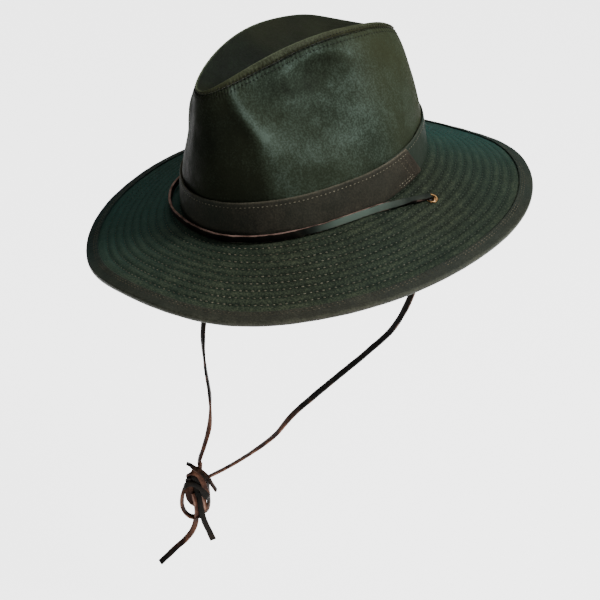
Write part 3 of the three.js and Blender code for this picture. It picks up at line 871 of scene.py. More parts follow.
# worn says how far the dye is off, by height in millimetres.
left_rows, right_rows = hanging_rows(1, LEFT_LACE), hanging_rows(-1, RIGHT_LACE)
HANGING = table(
    "name far_end slot worn rows",
    ("chin_lace_left", "object", "dark_lace", {-250: 0.85, -190: 0}, left_rows),
    ("chin_lace_right", "object", "dark_lace", {-245: 0.85, -222: 0}, right_rows),
    ("lace_tail_black", "bare", "dark_lace", {-400: 0}, standing_rows(BLACK_TAIL)),
    ("lace_tail_brown", "bare", "brown_lace", {-393: 0, -374: 0.75}, standing_rows(BROWN_TAIL)),
)
for number, hang in enumerate(HANGING):
    name, seed = hang["name"] + "_leather", 20 + 5 * number
    piece, line, length = strip(name, hang["rows"], seed, raw=HANDLED)
    heights = corners(piece)[:, 2] / MM
    stored(piece, "worn", np.interp(heights, list(hang["worn"]), list(hang["worn"].values())))
    worn(piece, hang["name"], LEATHER)
    print(hang["name"], "is", round(length / MM), "mm long")

# %% [markdown]
# ## The knot
# The two chin laces meet in a hand-tied knot, pulled tight. Three wraps cross the laces aslant, a
# short lace is tied over them and pokes out at both sides, and below them a loop stands out on
# each side. Each of these is a piece of the same lace, so each is a row in a table. Its points
# are given in millimetres from the knot's own middle, to the right, upwards and towards the
# front; a fourth number is the twist, 0 where the lace shows its face and 90 where it shows its
# edge.

# %% Knot
KNOT_MIDDLE = np.array([-107, -33, -325])
# The knot's own axes: to the camera's right, upwards and towards the camera.
KNOT_AXES = np.array([(0.7071, 0.7071, 0), (0, 0, 1), (0.7071, -0.7071, 0)])
KNOT_SEEN_FROM = np.array([0, 0.41, 0.91])
KNOT_LACE = {"width": 5.0, "thickness": 2.0, "corner": 0.6}
BEHIND = -4.4  # where the wraps pass behind the laces
WRAPS = table(
    "name worn raw front",
    ("upper_wrap", 0.8, HANDLED, [
        (-6.4, 16.1, 0), (-5.5, 20.4, 3), (-2.2, 23.4, 5), (2, 22.6, 6.2), (5.5, 17.7, 6.6),
        (8, 10.3, 6), (9.6, 2.1, 4), (9.8, -5.1, 1),
    ]),
    ("middle_wrap", 0, HANDLED, [
        (-7, 10.8, 0), (-6.3, 16, 2.6), (-3.1, 18.8, 4.4), (0.6, 16.6, 5), (3.8, 10.5, 5),
        (6.5, 3.2, 4.4), (8.3, -3.4, 2.4),
    ]),
    ("lower_wrap", 0, HANDLED, [
        (-11, 2.6, -0.5), (-10, 7.3, 2.6), (-6.7, 11.2, 4.8), (-1.3, 11.8, 6), (3.8, 8.6, 6.2),
        (8.1, 2.8, 5.2), (10.2, -4.6, 2.5),
    ]),
)
LOOPS = table(
    "name worn raw points",
    ("far_end", 0.7, HANDLED, [
        (4.2, 29.8, -0.8, 60), (3.8, 25.9, -0.6, 50), (2.8, 19.4, -0.5, 0), (1.5, 12.5, -0.3, 0),
        (0.2, 5.6, 0, 0), (0.3, -1.4, 0, 0),
    ]),
    ("near_end", 0.6, HANDLED, [
        (11.2, 17.6, 1.6, 60), (9.1, 16.2, 1.6, 30), (6.5, 11.7, 1.2, 0), (5.1, 5.3, 0.8, 0),
        (4.9, -2, 0.5, 0), (5.1, -8.3, 0.3, 0),
    ]),
    ("tie", 0.3, HANDLED, [
        (-7.5, 32.6, 4.4, 78), (-4.1, 30.9, 4.6, 74), (-0.9, 28.1, 5, 50), (3.6, 26.3, 6.2, 12),
        (8, 22.6, 6.6, 8), (11.3, 17.8, 5.6, 35), (14.2, 12.4, 5, 72), (18.4, 4.7, 4.6, 76),
    ]),
    ("left_loop", 0.6, HANDLED, [
        (-9.9, 5.1, 1.5, 60), (-12, -0.2, 2.2, 66), (-13.2, -7.3, 2.2, 62), (-13, -14.5, 2, 60),
        (-10.7, -20.7, 1.8, 62), (-6.8, -24.5, 2, 55), (-2.5, -25.3, 2.6, 40),
        (1.4, -24.1, 2.8, 40),
    ]),
    ("flap", 0.7, HANDLED, [
        (-5, 7.4, 0.8, 5), (-4.2, 1.1, 1.2, 0), (-3.2, -5.2, 1, 0), (-1.4, -10.8, 0.4, 0),
        (1.2, -15.6, -0.4, 0),
    ]),
    ("left_flap", 0.75, HANDLED, [
        (-8.4, 6, 1, 10), (-8, 1.4, 1.5, 0), (-7, -5, 1.4, 0), (-4.4, -10, 1, 0),
        (-0.4, -13.6, 0.2, 0),
    ]),
    ("dark_run", 0, HANDLED, [
        (0.4, 6.9, 2, 10), (1.1, -0.7, 2.6, 5), (1.6, -9.7, 2.4, 5), (2, -19, 1.8, 5),
        (2, -27.1, 1, 10),
    ]),
    ("left_run", 0.9, 0.9, [
        (-2.5, 0.8, 3.6, 62), (-0.9, -6.5, 4.6, 66), (-0.2, -13.6, 4.6, 66), (-0.1, -20.2, 4, 60),
        (-0.5, -24.9, 3, 45),
    ]),
    ("right_loop", 0.3, HANDLED, [
        (10, 10.1, -1.5, 60), (10.5, 1.4, -1.2, 72), (10.9, -7.3, -1, 72), (10.6, -14.4, -1, 70),
        (9, -19.6, -1, 64), (6.5, -21.7, -0.8, 40),
    ]),
    ("right_run", 0.9, 0.9, [
        (6.1, -2.1, 1.6, 60), (7.2, -8.3, 1.6, 70), (7.8, -15, 1, 72), (7.9, -19.8, 0.4, 60),
    ]),
)


def from_knot(points):
    """Points of the knot in metres."""
    return (KNOT_MIDDLE + np.asarray(points, float) @ KNOT_AXES) * MM


def wrap_rows(front):
    """A ring of rows, round the front by its points and back behind the knot, always on edge."""
    first, last = np.array(front[0], float), np.array(front[-1], float)
    behind = [last + (first - last) * share for share in (0.2, 0.5, 0.8)]
    ring = np.array([*front, *[(right, up, BEHIND) for right, up, _ in behind]])
    slope = last - first
    across = unit(np.array([-slope[1], slope[0], 0])) @ KNOT_AXES
    return [(at, across) for at in from_knot(ring)]


def loop_rows(points):
    """Rows along a piece of lace, turned by its twist away from where the knot is seen from."""
    places, twist = np.split(np.array(points, float), [3], axis=1)
    along = unit(np.gradient(places, axis=0))
    face = unit(np.cross(along, KNOT_SEEN_FROM))
    edge = np.cross(face, along)
    twist = np.radians(twist)
    across = (face * np.cos(twist) + edge * np.sin(twist)) @ KNOT_AXES
    return list(zip(from_knot(places), across))


def joined(name, pieces):
    """Makes one object of many, under a new name."""
    only(pieces[0])
    for piece in pieces:
        piece.select_set(True)
    bpy.ops.object.join()
    pieces[0].name = name
    return pieces[0]


knot_rows = [wrap_rows(wrap["front"]) for wrap in WRAPS]
knot_rows += [loop_rows(loop["points"]) for loop in LOOPS]
knot_pieces = []
for number, (part, rows) in enumerate(zip(WRAPS + LOOPS, knot_rows)):
    ring = part in WRAPS
    piece, _, _ = strip(part["name"], rows, 40 + number, ring, KNOT_LACE, 0.8, part["raw"])
    stored(piece, "worn", part["worn"])
    knot_pieces.append(piece)
knot = joined("lace_knot_leather", knot_pieces)
worn(knot, "lace_knot", LEATHER)

# %% [markdown]
# ## The eyelets
# A copper eyelet is pressed through the brim at each side: a barrel with a flange rolled over at
# either end. One circle is extruded and scaled from station to station round the ring's section
# and meets itself again; subdividing it rounds the rolled edges. The second is a copy of the
# first.

# %% Eyelets
def eyelet_ring():
    """An eyelet that stands at the origin with its axis up; the brim's face is at height 0."""
    hole, barrel, flange, lip, gap, soft = (
        EYELET[key] for key in ("hole", "barrel", "flange", "lip", "gap", "round")
    )
    foot = -BRIM["thickness"] - gap
    stations = [
        (hole, foot - lip / 2), (hole + soft, foot - lip), (flange - soft, foot - lip),
        (flange, foot - lip / 2), (flange - soft, foot), (barrel, foot), (barrel, gap),
        (flange - soft, gap), (flange, gap + lip / 2), (flange - soft, gap + lip),
        (hole + soft, gap + lip), (hole, gap + lip / 2), (hole, foot - lip / 2),
    ]
    bpy.ops.object.select_all(action="DESELECT")
    radius, height = stations[0]
    bpy.ops.mesh.primitive_circle_add(vertices=40, radius=radius * MM, location=(0, 0, 0))
    ring = bpy.context.object
    bpy.ops.object.mode_set(mode="EDIT")
    bpy.ops.mesh.select_all(action="SELECT")
    bpy.ops.transform.translate(value=(0, 0, height * MM))
    for next_radius, next_height in stations[1:]:
        bpy.ops.mesh.extrude_region_move()
        scale = next_radius / radius
        bpy.ops.transform.resize(value=(scale, scale, 1))
        bpy.ops.transform.translate(value=(0, 0, (next_height - height) * MM))
        radius, height = next_radius, next_height
    bpy.ops.object.mode_set(mode="OBJECT")
    merged(ring)
    turned_outwards(ring, closed=True)
    applied(ring, "SUBSURF", levels=2)
    bpy.ops.object.shade_smooth()
    return ring


def stand_on_brim(piece, side):
    """Moves a mesh from the origin to an eyelet's place, with its Z axis along the eyelet's."""
    place, axis = eyelet_place(side)
    turn = Vector((0, 0, 1)).rotation_difference(Vector(upright(axis) / MM))
    piece.data.transform(Matrix.Translation(upright(place)) @ turn.to_matrix().to_4x4())


first_eyelet = eyelet_ring()
second_eyelet = first_eyelet.copy()
second_eyelet.data = first_eyelet.data.copy()
bpy.context.collection.objects.link(second_eyelet)
for piece, side in zip((first_eyelet, second_eyelet), SIDES):
    piece.name = f"eyelet_{side}_copper"
    stand_on_brim(piece, SIDES[side])
    worn(piece, "eyelet_" + side, COPPER)

# %% [markdown]
# ## The crown's side
# The wall is one piece of cloth, made from a grid that is bent round the head and given its
# thickness by a Solidify modifier. Real cloth is never as smooth as a formula, so broad ripples
# of half a millimetre are laid over it, and its upper edge is drawn in where it is sewn to the
# tip. Each corner also keeps numbers for the finish: how pale the cloth is painted, how far the
# colour has turned, and how near a seam it is. The paleness is painted light and shade: a table
# of strokes paints highlights along the front fold and the lips of the hollow and painted shade
# in its bowl; a stroke is a line over the wall, by plan angle and by share of the height.

# %% Crown side
FRONT_FOLD = [(-57, 0.93), (-55, 0.845), (-52, 0.755), (-49, 0.68), (-46, 0.6)]
LOWER_LIP = [
    (8, 0.86), (8, 0.76), (3.5, 0.6), (-6.5, 0.48), (-20, 0.42), (-33, 0.45), (-43.5, 0.6),
]
# Strokes of painted light: a positive amount paints a highlight along its line, a negative one
# painted shade.
PAINTED_LIGHT_STROKES = table(
    "width amount line",
    (2.6, 0.34, FRONT_FOLD),
    (6, 0.12, [(-46, 0.6), (-44, 0.45), (-43, 0.3)]),  # the fold's foot
    (9, 0.16, LOWER_LIP),
    (4, 0.12, [(-33, 0.72), (-22, 0.69), (-10, 0.69), (2, 0.73)]),  # the lip under the bowl
    (2.5, 0.16, [(-33, 0.87), (-22, 0.895), (-8, 0.915), (2, 0.9), (6, 0.86)]),  # the upper lip
    (9.5, -0.14, [(-29, 0.795), (-20, 0.78), (-10, 0.795), (-1, 0.83)]),  # the bowl
    (3, -0.14, [(-12, 0.86), (-4, 0.865), (1, 0.85)]),  # the bowl's end
)
# What a degree round the crown and its whole height measure in millimetres.
WALL_MM = np.array([1.2, 116])
SEAM_GROOVE = {"depth": 0.9, "width": 0.006}
SEAM_HOLD = 0.12  # how far below the seam its stitches still hold the cloth smooth
# How far below the seam each row of the crown's stitches lies, as a share of the wall's height.
CROWN_ROWS = {"lower": 0.033, "upper": 0.009, "roll": -0.011}


def stroke(angle, share, line, width):
    """1 along a line over the wall, falling to 0 a few widths from it."""
    here = np.stack([side_angle(angle), share], -1) * WALL_MM
    line = np.array(line) * WALL_MM
    nearest = np.full(angle.shape, np.inf)
    for start, end in zip(line, line[1:]):
        along = end - start
        t = np.clip(((here - start) @ along) / (along @ along), 0, 1)
        nearest = np.minimum(nearest, np.linalg.norm(here - start - t[:, None] * along, axis=-1))
    return spot(nearest, 0, width)


def crown_wall(round_, up):
    angle = round_ * 2 * math.pi
    share = up * seam_share(angle)
    return raised(wall, angle, share, crown_relief(angle, share))


def crown_relief(angle, share):
    """How far the cloth stands off the plain wall: soft ripples, and a groove along the seam."""
    rest = wall(angle, share)
    hold = np.clip((seam_share(angle) - share) / SEAM_HOLD, 0, 1)
    uneven = ripples(rest, *RIPPLES["crown"]) + ripples(rest, *RIPPLES["crown_fine"])
    return uneven * hold - seam_groove(angle, share)


def seam_groove(angle, share):
    return SEAM_GROOVE["depth"] * spot(share, seam_share(angle), SEAM_GROOVE["width"])


def grid_place(piece):
    """How far round and up each corner lies, read back from the piece's UV map."""
    place = np.zeros((len(piece.data.vertices), 2))
    uv = piece.data.uv_layers.active.data
    for loop in piece.data.loops:
        place[loop.vertex_index] = uv[loop.index].uv
    return place[:, 0], place[:, 1]


crown = cloth("waxed_crown", 300, 84, crown_wall)
round_, up = grid_place(crown)
angle = round_ * 2 * math.pi
share = up * seam_share(angle)
fold_angle, fold_share = np.array(FRONT_FOLD)[::-1].T
beyond_fold = np.interp(share, fold_share, fold_angle) - side_angle(angle)
below_seam = seam_share(angle) - share
# Painted shade: the cloth is darker in front of the fold, where the front is turned from the key
# lamp. It is darker along the seam too.
wear_and_painted_light = 0.44 - 0.37 * smooth(beyond_fold, 0, 9) - 0.35 * spot(below_seam, 0, 0.005)
for wear_and_light in PAINTED_LIGHT_STROKES:
    wear_and_painted_light = wear_and_painted_light + wear_and_light["amount"] * stroke(angle, share, wear_and_light["line"], wear_and_light["width"])
stored(crown, "wear_and_painted_light", wear_and_painted_light)
stored(crown, "stain_and_painted_sheen", 0.6 * smooth(side_angle(angle), 0, 18) + 0.5 * facing(round_, 215, 30))
sewn_at = (CROWN_ROWS["lower"], 0)
stored(crown, "sewn", sum(spot(below_seam, row, 0.012) for row in sewn_at))
thickened(crown, CROWN["cloth"])
worn(crown, "crown_side", CLOTH["crown"])

# %% [markdown]
# ## The crown's tip
# The tip is a second piece of cloth. It starts at the seam below the crest, rolls over the crest
# and sinks into a long hollow, the crease. Its grid runs from the seam to a pole in the middle.

# %% Crown tip
BOWL = {"floor": 92, "power": 1.9}
TIP_GAP = 0.001  # the tip starts this share above the seam
# The share of the grid that goes up to the crest, and how the crest's edge is rounded.
ROLL_SHARE = 0.16
ROLL_EDGE = {"depth": 0.4, "width": 0.035}


def bowl(angle, reach):
    """The top of the tip, sunk between the crests; reach is 0 in the middle and 1 at the crest."""
    top = crest(angle)
    middle = (CREST["back"] - CREST["front"]) / 2
    depth = reach ** BOWL["power"]
    return np.stack([
        top[..., 0] * reach,
        middle + (top[..., 1] - middle) * reach,
        BOWL["floor"] + (top[..., 2] - BOWL["floor"]) * depth,
    ], -1)


def crown_tip(round_, up):
    """The tip's cloth: a short stretch of wall, a rounded fold at the crest and the bowl."""
    angle = round_ * 2 * math.pi
    climb = np.clip(up / ROLL_SHARE, 0, 1)
    start = seam_share(angle) + TIP_GAP
    share = start + (1 - start) * climb
    side = raised(wall, angle, share, -seam_groove(angle, share))
    reach = np.clip((1 - up) / (1 - ROLL_SHARE), 0, 1)
    top = bowl(angle, reach)
    points = np.where((up < ROLL_SHARE)[..., None], side, top)
    points[..., 2] -= ROLL_EDGE["depth"] * spot(up, ROLL_SHARE, ROLL_EDGE["width"])
    points[..., 2] += ripples(points, *RIPPLES["tip"]) * np.clip((up - 0.25) / 0.2, 0, 1)
    return points


tip = cloth("waxed_tip", 240, 90, crown_tip)
_, up = grid_place(tip)
on_roll = 1 - smooth(up, ROLL_SHARE, ROLL_SHARE + 0.02)
climb = np.clip(up / ROLL_SHARE, 0, 1)
# The roll is paler than the bowl, most along the crest, where its pale edge line is partly
# rubbed wax and partly painted highlight. The seam is darker.
wear_and_painted_light = 0.22 + on_roll * (0.2 + 0.25 * climb)
wear_and_painted_light = wear_and_painted_light + 0.4 * spot(up, ROLL_SHARE, 0.018) - 0.4 * spot(up, 0, 0.03)
stored(tip, "wear_and_painted_light", wear_and_painted_light)
stored(tip, "stain_and_painted_sheen", 0.5 * on_roll)
stored(tip, "sewn", 0.5 * on_roll * spot(climb, 0.25, 0.3))
thickened(tip, CROWN["cloth"])
worn(tip, "crown_tip", CLOTH["tip"])

# %% [markdown]
# ## The brim
# The brim is two layers of cloth with a stiffener between them, sewn through in ten rings. Each
# ring of stitches pulls the cloth down into a groove, and the cloth between the rings stands up
# in low rolls. Its section is carried right round the hat, over the top, past the edge and back
# below.

# %% Quilting
STITCH_RINGS = [0.03, 0.115, 0.2, 0.285, 0.37, 0.455, 0.54, 0.625, 0.71, 0.795]
GROOVE = {"depth": 0.55, "width": 0.02}


def quilted(share):
    """Low rolls between the rings of stitches, and grooves along them, in millimetres."""
    height = np.zeros(share.shape)
    for ring in STITCH_RINGS:
        height = height - GROOVE["depth"] * spot(share, ring, GROOVE["width"])
    return height


def brim_section(round_, up):
    """Up the section: out along the upper face, then back along the lower one."""
    angle = round_ * 2 * math.pi
    share = 1 - np.abs(2 * up - 1)
    upper = up <= 0.5
    outwards = np.where(upper, 1, -1)
    rest = brim_face(angle, share)
    lift = np.where(upper, 0, -BRIM["thickness"]) + outwards * quilted(share)
    pull = outwards * ripples(rest, *RIPPLES["brim"])
    return rest - normal_of(brim_face, angle, share) * (lift + pull)[..., None]


# %% Brim cloth
def bridged(piece):
    """Joins the two open rims of a piece with a strip of faces."""
    only(piece)
    bpy.ops.object.mode_set(mode="EDIT")
    bpy.ops.mesh.select_mode(type="EDGE")
    bpy.ops.mesh.select_all(action="DESELECT")
    bpy.ops.mesh.select_non_manifold()
    bpy.ops.mesh.bridge_edge_loops()
    bpy.ops.object.mode_set(mode="OBJECT")
    turned_outwards(piece, closed=True)


def pierced(piece, middle, axis, radius):
    """Makes a hole for an eyelet: the faces round its axis go, and the two rims are joined."""
    middle, axis = upright(middle), upright(axis) / MM
    away = np.array([face.center for face in piece.data.polygons]) - middle
    along = away @ axis
    near = np.linalg.norm(away - along[:, None] * axis, axis=1) < radius * MM
    near &= np.abs(along) < 2 * BRIM["thickness"] * MM
    only(piece)
    bpy.ops.object.mode_set(mode="EDIT")
    bpy.ops.mesh.select_mode(type="FACE")
    bpy.ops.mesh.select_all(action="DESELECT")
    bpy.ops.object.mode_set(mode="OBJECT")
    piece.data.polygons.foreach_set("select", near)
    bpy.ops.object.mode_set(mode="EDIT")
    bpy.ops.mesh.delete(type="FACE")
    bpy.ops.object.mode_set(mode="OBJECT")
    bridged(piece)


brim = cloth("quilted_brim", 360, 240, brim_section, closed=True)
bridged(brim)
round_, up = grid_place(brim)
# Painted light and shade: the grooves are painted darker than the rolls, and the two front
# quarters paler than the rest.
wear_and_painted_light = 0.35 + (quilted(1 - np.abs(2 * up - 1)) + 0.2) * 0.55
wear_and_painted_light = wear_and_painted_light + 0.12 * facing(round_, 308, 45) + 0.4 * facing(round_, 228, 40)
stored(brim, "wear_and_painted_light", wear_and_painted_light)
# Painted sheen: a teal tint at the brim's far left and at its back.
stored(brim, "stain_and_painted_sheen", facing(round_, 213, 50) + facing(round_, 81, 27))
for side in SIDES.values():
    pierced(brim, *eyelet_place(side), EYELET["barrel"])
bpy.ops.object.shade_smooth_by_angle(angle=math.radians(60))
worn(brim, "brim", CLOTH["brim"])

# %% [markdown]
# ## The binding
# A strip of cloth is folded round the brim's edge and sewn through. Its section is a flat U with
# a rounded nose. The cloth is eased round the curve, so it puckers a little along its inner edge.

# %% Binding
BINDING = {"width": 9.5, "cloth": 1.0, "gap": 0.3, "puckers": 150, "pucker": 0.12}
# Shares of the strip: its edge is turned in up to the first, and its nose starts at the second.
TURNED_IN, NOSE = 0.03, 0.3


def u_section(round_, up):
    """Round the folded strip: out over the brim, round the nose and back below it."""
    angle = round_ * 2 * math.pi
    half = BRIM["thickness"] / 2
    off_brim = BINDING["gap"] + BINDING["cloth"]
    stations = [0, TURNED_IN, NOSE, 1 - NOSE, 1 - TURNED_IN, 1]
    reach = np.interp(up, stations, [-1, -0.96, 0, 0, -0.96, -1])
    share = 1 + reach * (BINDING["width"] / BRIM["width"])
    swing = np.clip((up - NOSE) / (1 - 2 * NOSE), 0, 1) * math.pi
    edge = np.clip(1 - np.minimum(up, 1 - up) / TURNED_IN, 0, 1)
    rise = (half + off_brim) * np.cos(swing) - np.where(up < 0.5, 1, -1) * 0.35 * edge
    nose = off_brim * np.sin(swing)
    face = brim_face(angle, share)
    normal = -normal_of(brim_face, angle, share)
    out = unit(face - brim_face(angle, share - 0.03))
    pucker = BINDING["pucker"] * np.sin(angle * BINDING["puckers"]) * np.clip(-reach, 0, 1)
    pucker = pucker + ripples(face, *RIPPLES["binding"])
    lift = rise + np.sign(rise) * pucker - half
    return face + normal * lift[..., None] + out * nose[..., None]


binding = cloth("edge_binding", 600, 48, u_section)
thickened(binding, BINDING["cloth"] - 0.1)
round_, up = grid_place(binding)
# Painted highlight along the upper side of the nose; a teal painted sheen at the left and at the
# back.
stored(binding, "wear_and_painted_light", 0.42 + 0.3 * spot(up, 0.42, 0.1))
stored(binding, "stain_and_painted_sheen", facing(round_, 205, 60) + 0.8 * facing(round_, 75, 45))
worn(binding, "brim_binding", CLOTH["binding"])

# %% [markdown]
# ## The band
# One strip of cloth runs round the crown's foot. Its upper edge is turned in, which makes it
# thicker there, and it laps over its own start at the wearer's left rear, where its end is cut on
# the slant.

# %% Band
# Lengths in millimetres, and degrees round the hat for where the band starts, laps and ends.
BAND = {
    "foot": 0.9, "height": 28, "cloth": 1.4, "clearance": 0.5,
    "start": 2, "lap_from": 338, "lap_to": 358, "lap_gap": 0.3, "end_top": 375, "end_foot": 385,
}
# Shares of the band's height; lift and depth are in millimetres, and drop is so many lifts.
HEM = {
    "from": 0.8, "to": 0.84, "top": 0.96, "lift": 0.25, "drop": 1.6,
    "groove": 0.86, "depth": 0.3, "width": 0.012,
}


def band_outside(round_, up, extra=0.0):
    """The band's outer face; extra lifts a point off it, in millimetres."""
    end = BAND["end_foot"] + (BAND["end_top"] - BAND["end_foot"]) * up
    degrees = BAND["start"] + (end - BAND["start"]) * round_
    angle = np.radians(degrees)
    height = BAND["foot"] + (BAND["height"] - BAND["foot"]) * up
    lap = smooth(degrees, BAND["lap_from"], BAND["lap_to"]) * (BAND["cloth"] + BAND["lap_gap"])
    share = height / crest(angle)[..., 2]
    return raised(wall, angle, share, BAND["clearance"] + BAND["cloth"] + lap + extra)


def band_face(round_, up, height=0.0):
    """The band's uneven outer face, with a thicker hem that has a groove along it."""
    turned_in = smooth(up, HEM["top"], 1.0) * HEM["drop"]
    hem = HEM["lift"] * (smooth(up, HEM["from"], HEM["to"]) - turned_in)
    groove = -HEM["depth"] * spot(up, HEM["groove"], HEM["width"])
    rest = band_outside(round_, up)
    ripple = ripples(rest, *RIPPLES["band"]) + ripples(rest, *RIPPLES["band_fine"])
    return band_outside(round_, up, hem + groove + ripple + height)


band = cloth("hat_band_cloth", 420, 34, band_face)
thickened(band, BAND["cloth"])
round_, up = grid_place(band)
stored(band, "wear_and_painted_light", 0.3 + 0.5 * smooth(up, 0.93, 1.0))
stored(band, "stain_and_painted_sheen", 1 - smooth(round_, 0.1, 0.2) + 0.6 * facing(round_, 225, 50))
worn(band, "hat_band", CLOTH["band"])

# %% [markdown]
# ## Stitches
# Everything on this hat is sewn with thick thread. A stitch is a short, plump grain of thread
# that dips into the cloth at both ends. One grain is modelled at the origin, and its corners are
# copied along each seam and turned with the cloth. It has few faces, because there are thousands
# of them. Pale thread quilts the brim and holds the band, duller thread the binding and the
# band's lapped end, and dark thread the crown. Over most of the brim the pale thread is painted
# dark green as painted shade, so that it shows pale only on the near front.

# %% Thread, and one stitch
THREAD_SHADE_GREEN = "2B3A31"  # the dark green painted on the pale thread as painted shade


def twisted_thread(name, dark, light):
    finish = Finish(name, {"Specular IOR Level": 0.25})
    fibres = finish.noise(900, 3, 0.6)
    dirt = finish.ramp(finish.noise(35, 3, 0.6), 0.35, 0.65)
    base = finish.mix(dark, light, finish.ramp(fibres * 0.5 + dirt * 0.5, 0.2, 0.8))
    # Painted shade: dark green where a corner's number says so.
    base = finish.mix(base, THREAD_SHADE_GREEN, finish.attribute("thread_shade"))
    return finish.end(base, 0.75 + (fibres - 0.5) * 0.2, [(fibres, 0.1)])


def one_stitch():
    """A grain of thread at the origin, 1 long, 1 wide and 1 high: its corners and its faces."""
    bpy.ops.object.select_all(action="DESELECT")
    bpy.ops.mesh.primitive_ico_sphere_add(subdivisions=1, radius=0.5, location=(0, 0, 0))
    grain = bpy.context.object
    shape = corners(grain), [list(face.vertices) for face in grain.data.polygons]
    bpy.ops.object.delete()
    return shape


THREAD = {
    "pale": twisted_thread("pale_thread", "575444", "8A8571"),
    "dull": twisted_thread("dull_thread", "3A372D", "6B6553"),
    "dark": twisted_thread("dark_thread", "0E0F0B", "22231A"),
}
GRAIN, GRAIN_FACES = one_stitch()
print("one stitch has", len(GRAIN_FACES), "faces")

# %% [markdown]
# A seam is given as a line of places on a surface. Each place has the stitch's middle, the way it
# points and the cloth's normal there, all level and in millimetres. Hand-guided sewing is never
# quite even, so each stitch is a little longer or shorter than the next, and turned by a few
# degrees.

# %% Seams
# A seam is measured at this many points, and its direction over this share of its length.
SEAM_POINTS, SEAM_STEP = 1500, 0.0005
CROOKED = 0.07  # how far the stitches turn from their seam, in radians
UNEVEN_LENGTH = (0.85, 1.1)


def seam(surface, start, end, pitch, face=1):
    """Even places along surface(t) for t from start to end; surface gives points and normals."""
    t = np.linspace(start, end, SEAM_POINTS)
    run = run_of(surface(t)[0])
    count = max(1, round(run[-1] / pitch))
    t = np.interp((np.arange(count) + 0.5) / count * run[-1], run, t)
    middle, normal = surface(t)
    step = (end - start) * SEAM_STEP
    forward = unit(surface(t + step)[0] - surface(t - step)[0])
    return middle, forward, normal * face


def sewn(name, seams, size, thread, seed, thread_shade=None):
    """Copies of the stitch along the seams, as one piece; the last argument, a function of the
    angle, says how far each is painted dark green, as painted shade.
    """
    long_, wide, high = size
    middle, forward, normal = (np.concatenate(rows) for rows in zip(*seams))
    chance = np.random.default_rng(seed)
    turn = chance.normal(0, CROOKED, len(middle))[:, None]
    forward = unit(forward + np.cross(normal, forward) * turn)
    side = np.cross(normal, forward)
    long_ = long_ * chance.uniform(*UNEVEN_LENGTH, len(middle))[:, None, None]
    points = middle[:, None] + forward[:, None] * GRAIN[:, :1] * long_
    points = points + side[:, None] * GRAIN[:, 1:2] * wide + normal[:, None] * GRAIN[:, 2:] * high
    firsts = range(0, len(middle) * len(GRAIN), len(GRAIN))
    faces = [[first + i for i in face] for first in firsts for face in GRAIN_FACES]
    piece = made(name, upright(points), faces)
    only(piece)
    bpy.ops.object.shade_smooth()
    if thread_shade:
        shade_amounts = thread_shade(np.arctan2(middle[:, 1], middle[:, 0]))
        stored(piece, "thread_shade", np.repeat(shade_amounts, len(GRAIN)))
    worn(piece, None, thread)
    print("  ", len(middle), "stitches")


def on_brim(share, height):
    """A ring of the brim's upper face, or with a negative height of its lower face."""
    def place(t):
        s = np.full(t.shape, share)
        normal = -normal_of(brim_face, t, s)
        return brim_face(t, s) + normal * height, normal
    return place


def on_crown(below_seam, height):
    """A ring round the crown, a share of the wall's height below the seam."""
    def place(t):
        s = seam_share(t) - below_seam
        relief = crown_relief(t, s) if below_seam > 0 else -seam_groove(t, s)
        return raised(wall, t, s, relief + height), normal_of(wall, t, s)
    return place


def on_band(height, round_=None, up=None):
    """A line along the band where up is given, or up the band where round_ is."""
    def place(t):
        r = t if round_ is None else np.full(t.shape, round_)
        u = t if up is None else np.full(t.shape, up)
        foot = band_face(r, u, height)
        return foot, unit(band_face(r, u, height + 1) - foot)
    return place


FULL = (0, 2 * math.pi)
PITCH = {"brim": 4.4, "binding": 3.6, "band": 3.3, "crown": 2.9}
# How far in from the brim's edge the rows of the binding lie, in millimetres.
BINDING_ROWS = (7.6, 5.8)
# Shares of the band: the row along its hem, short rows at its foot beside the lapped end, and
# rows up along that end.
HEM_RUN = (0.004, 0.996)
FOOT_ROWS, FOOT_RUN = (0.07, 0.16), (0.955, 0.985)
END_ROWS, END_RUN = (0.988, 0.98), (0.05, 0.95)
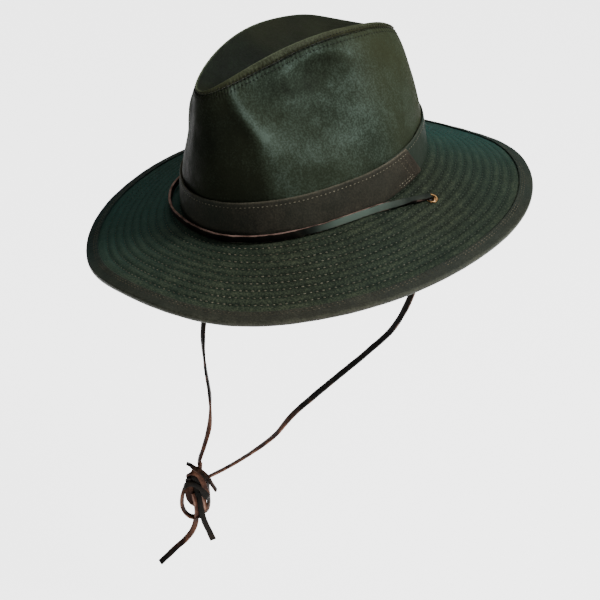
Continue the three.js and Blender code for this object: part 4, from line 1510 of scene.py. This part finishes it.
# How far the middle of a stitch lies off the cloth, or on the brim off the groove's bottom.
PROUD = {"brim": 0.15, "hem": 0.15, "lapped_end": 0.05, "crown": 0.1}
# A stitch's length, width and height.
STITCH = (2.3, 0.95, 0.7)
FINE_STITCH = (1.7, 0.75, 0.6)

# %% Stitches of the brim and its binding
def shaded_away_from_front(angle):
    """Painted shade: the stitches stay pale on the near front and are painted dark green
    elsewhere.
    """
    return 0.85 - 0.85 * facing(angle / (2 * math.pi), 298, 42)


def both_faces(share, height, pitch):
    """A seam on the brim's upper face, and the same one below."""
    upper = seam(on_brim(share, height), *FULL, pitch)
    return upper, seam(on_brim(share, -BRIM["thickness"] - height), *FULL, pitch, face=-1)


sunk = PROUD["brim"] - GROOVE["depth"]
quilting = list(zip(*[both_faces(ring, sunk, PITCH["brim"]) for ring in STITCH_RINGS]))
for number, (where, seams) in enumerate(zip(("upper", "lower"), quilting)):
    name = "brim_stitches_" + where
    sewn(name, seams, STITCH, THREAD["pale"], 1 + number, shaded_away_from_front)

proud = BINDING["gap"] + BINDING["cloth"]
binding_seams = []
for inset in BINDING_ROWS:
    binding_seams += both_faces(1 - inset / BRIM["width"], proud, PITCH["binding"])
sewn("binding_stitches", binding_seams, FINE_STITCH, THREAD["dull"], 3)

# %% Stitches of the band and the crown
band_seams = [seam(on_band(PROUD["hem"], up=HEM["groove"]), *HEM_RUN, PITCH["band"])]
for up in FOOT_ROWS:
    band_seams.append(seam(on_band(PROUD["lapped_end"], up=up), *FOOT_RUN, PITCH["band"]))
sewn("band_stitches", band_seams, FINE_STITCH, THREAD["pale"], 4)

lap_seams = []
for lap in END_ROWS:
    lap_seams.append(seam(on_band(PROUD["lapped_end"], round_=lap), *END_RUN, PITCH["band"]))
sewn("lap_stitches", lap_seams, FINE_STITCH, THREAD["dull"], 6)

crown_seams = []
for row in CROWN_ROWS.values():
    crown_seams.append(seam(on_crown(row, PROUD["crown"]), *FULL, PITCH["crown"]))
sewn("crown_stitches", crown_seams, FINE_STITCH, THREAD["dark"], 5)
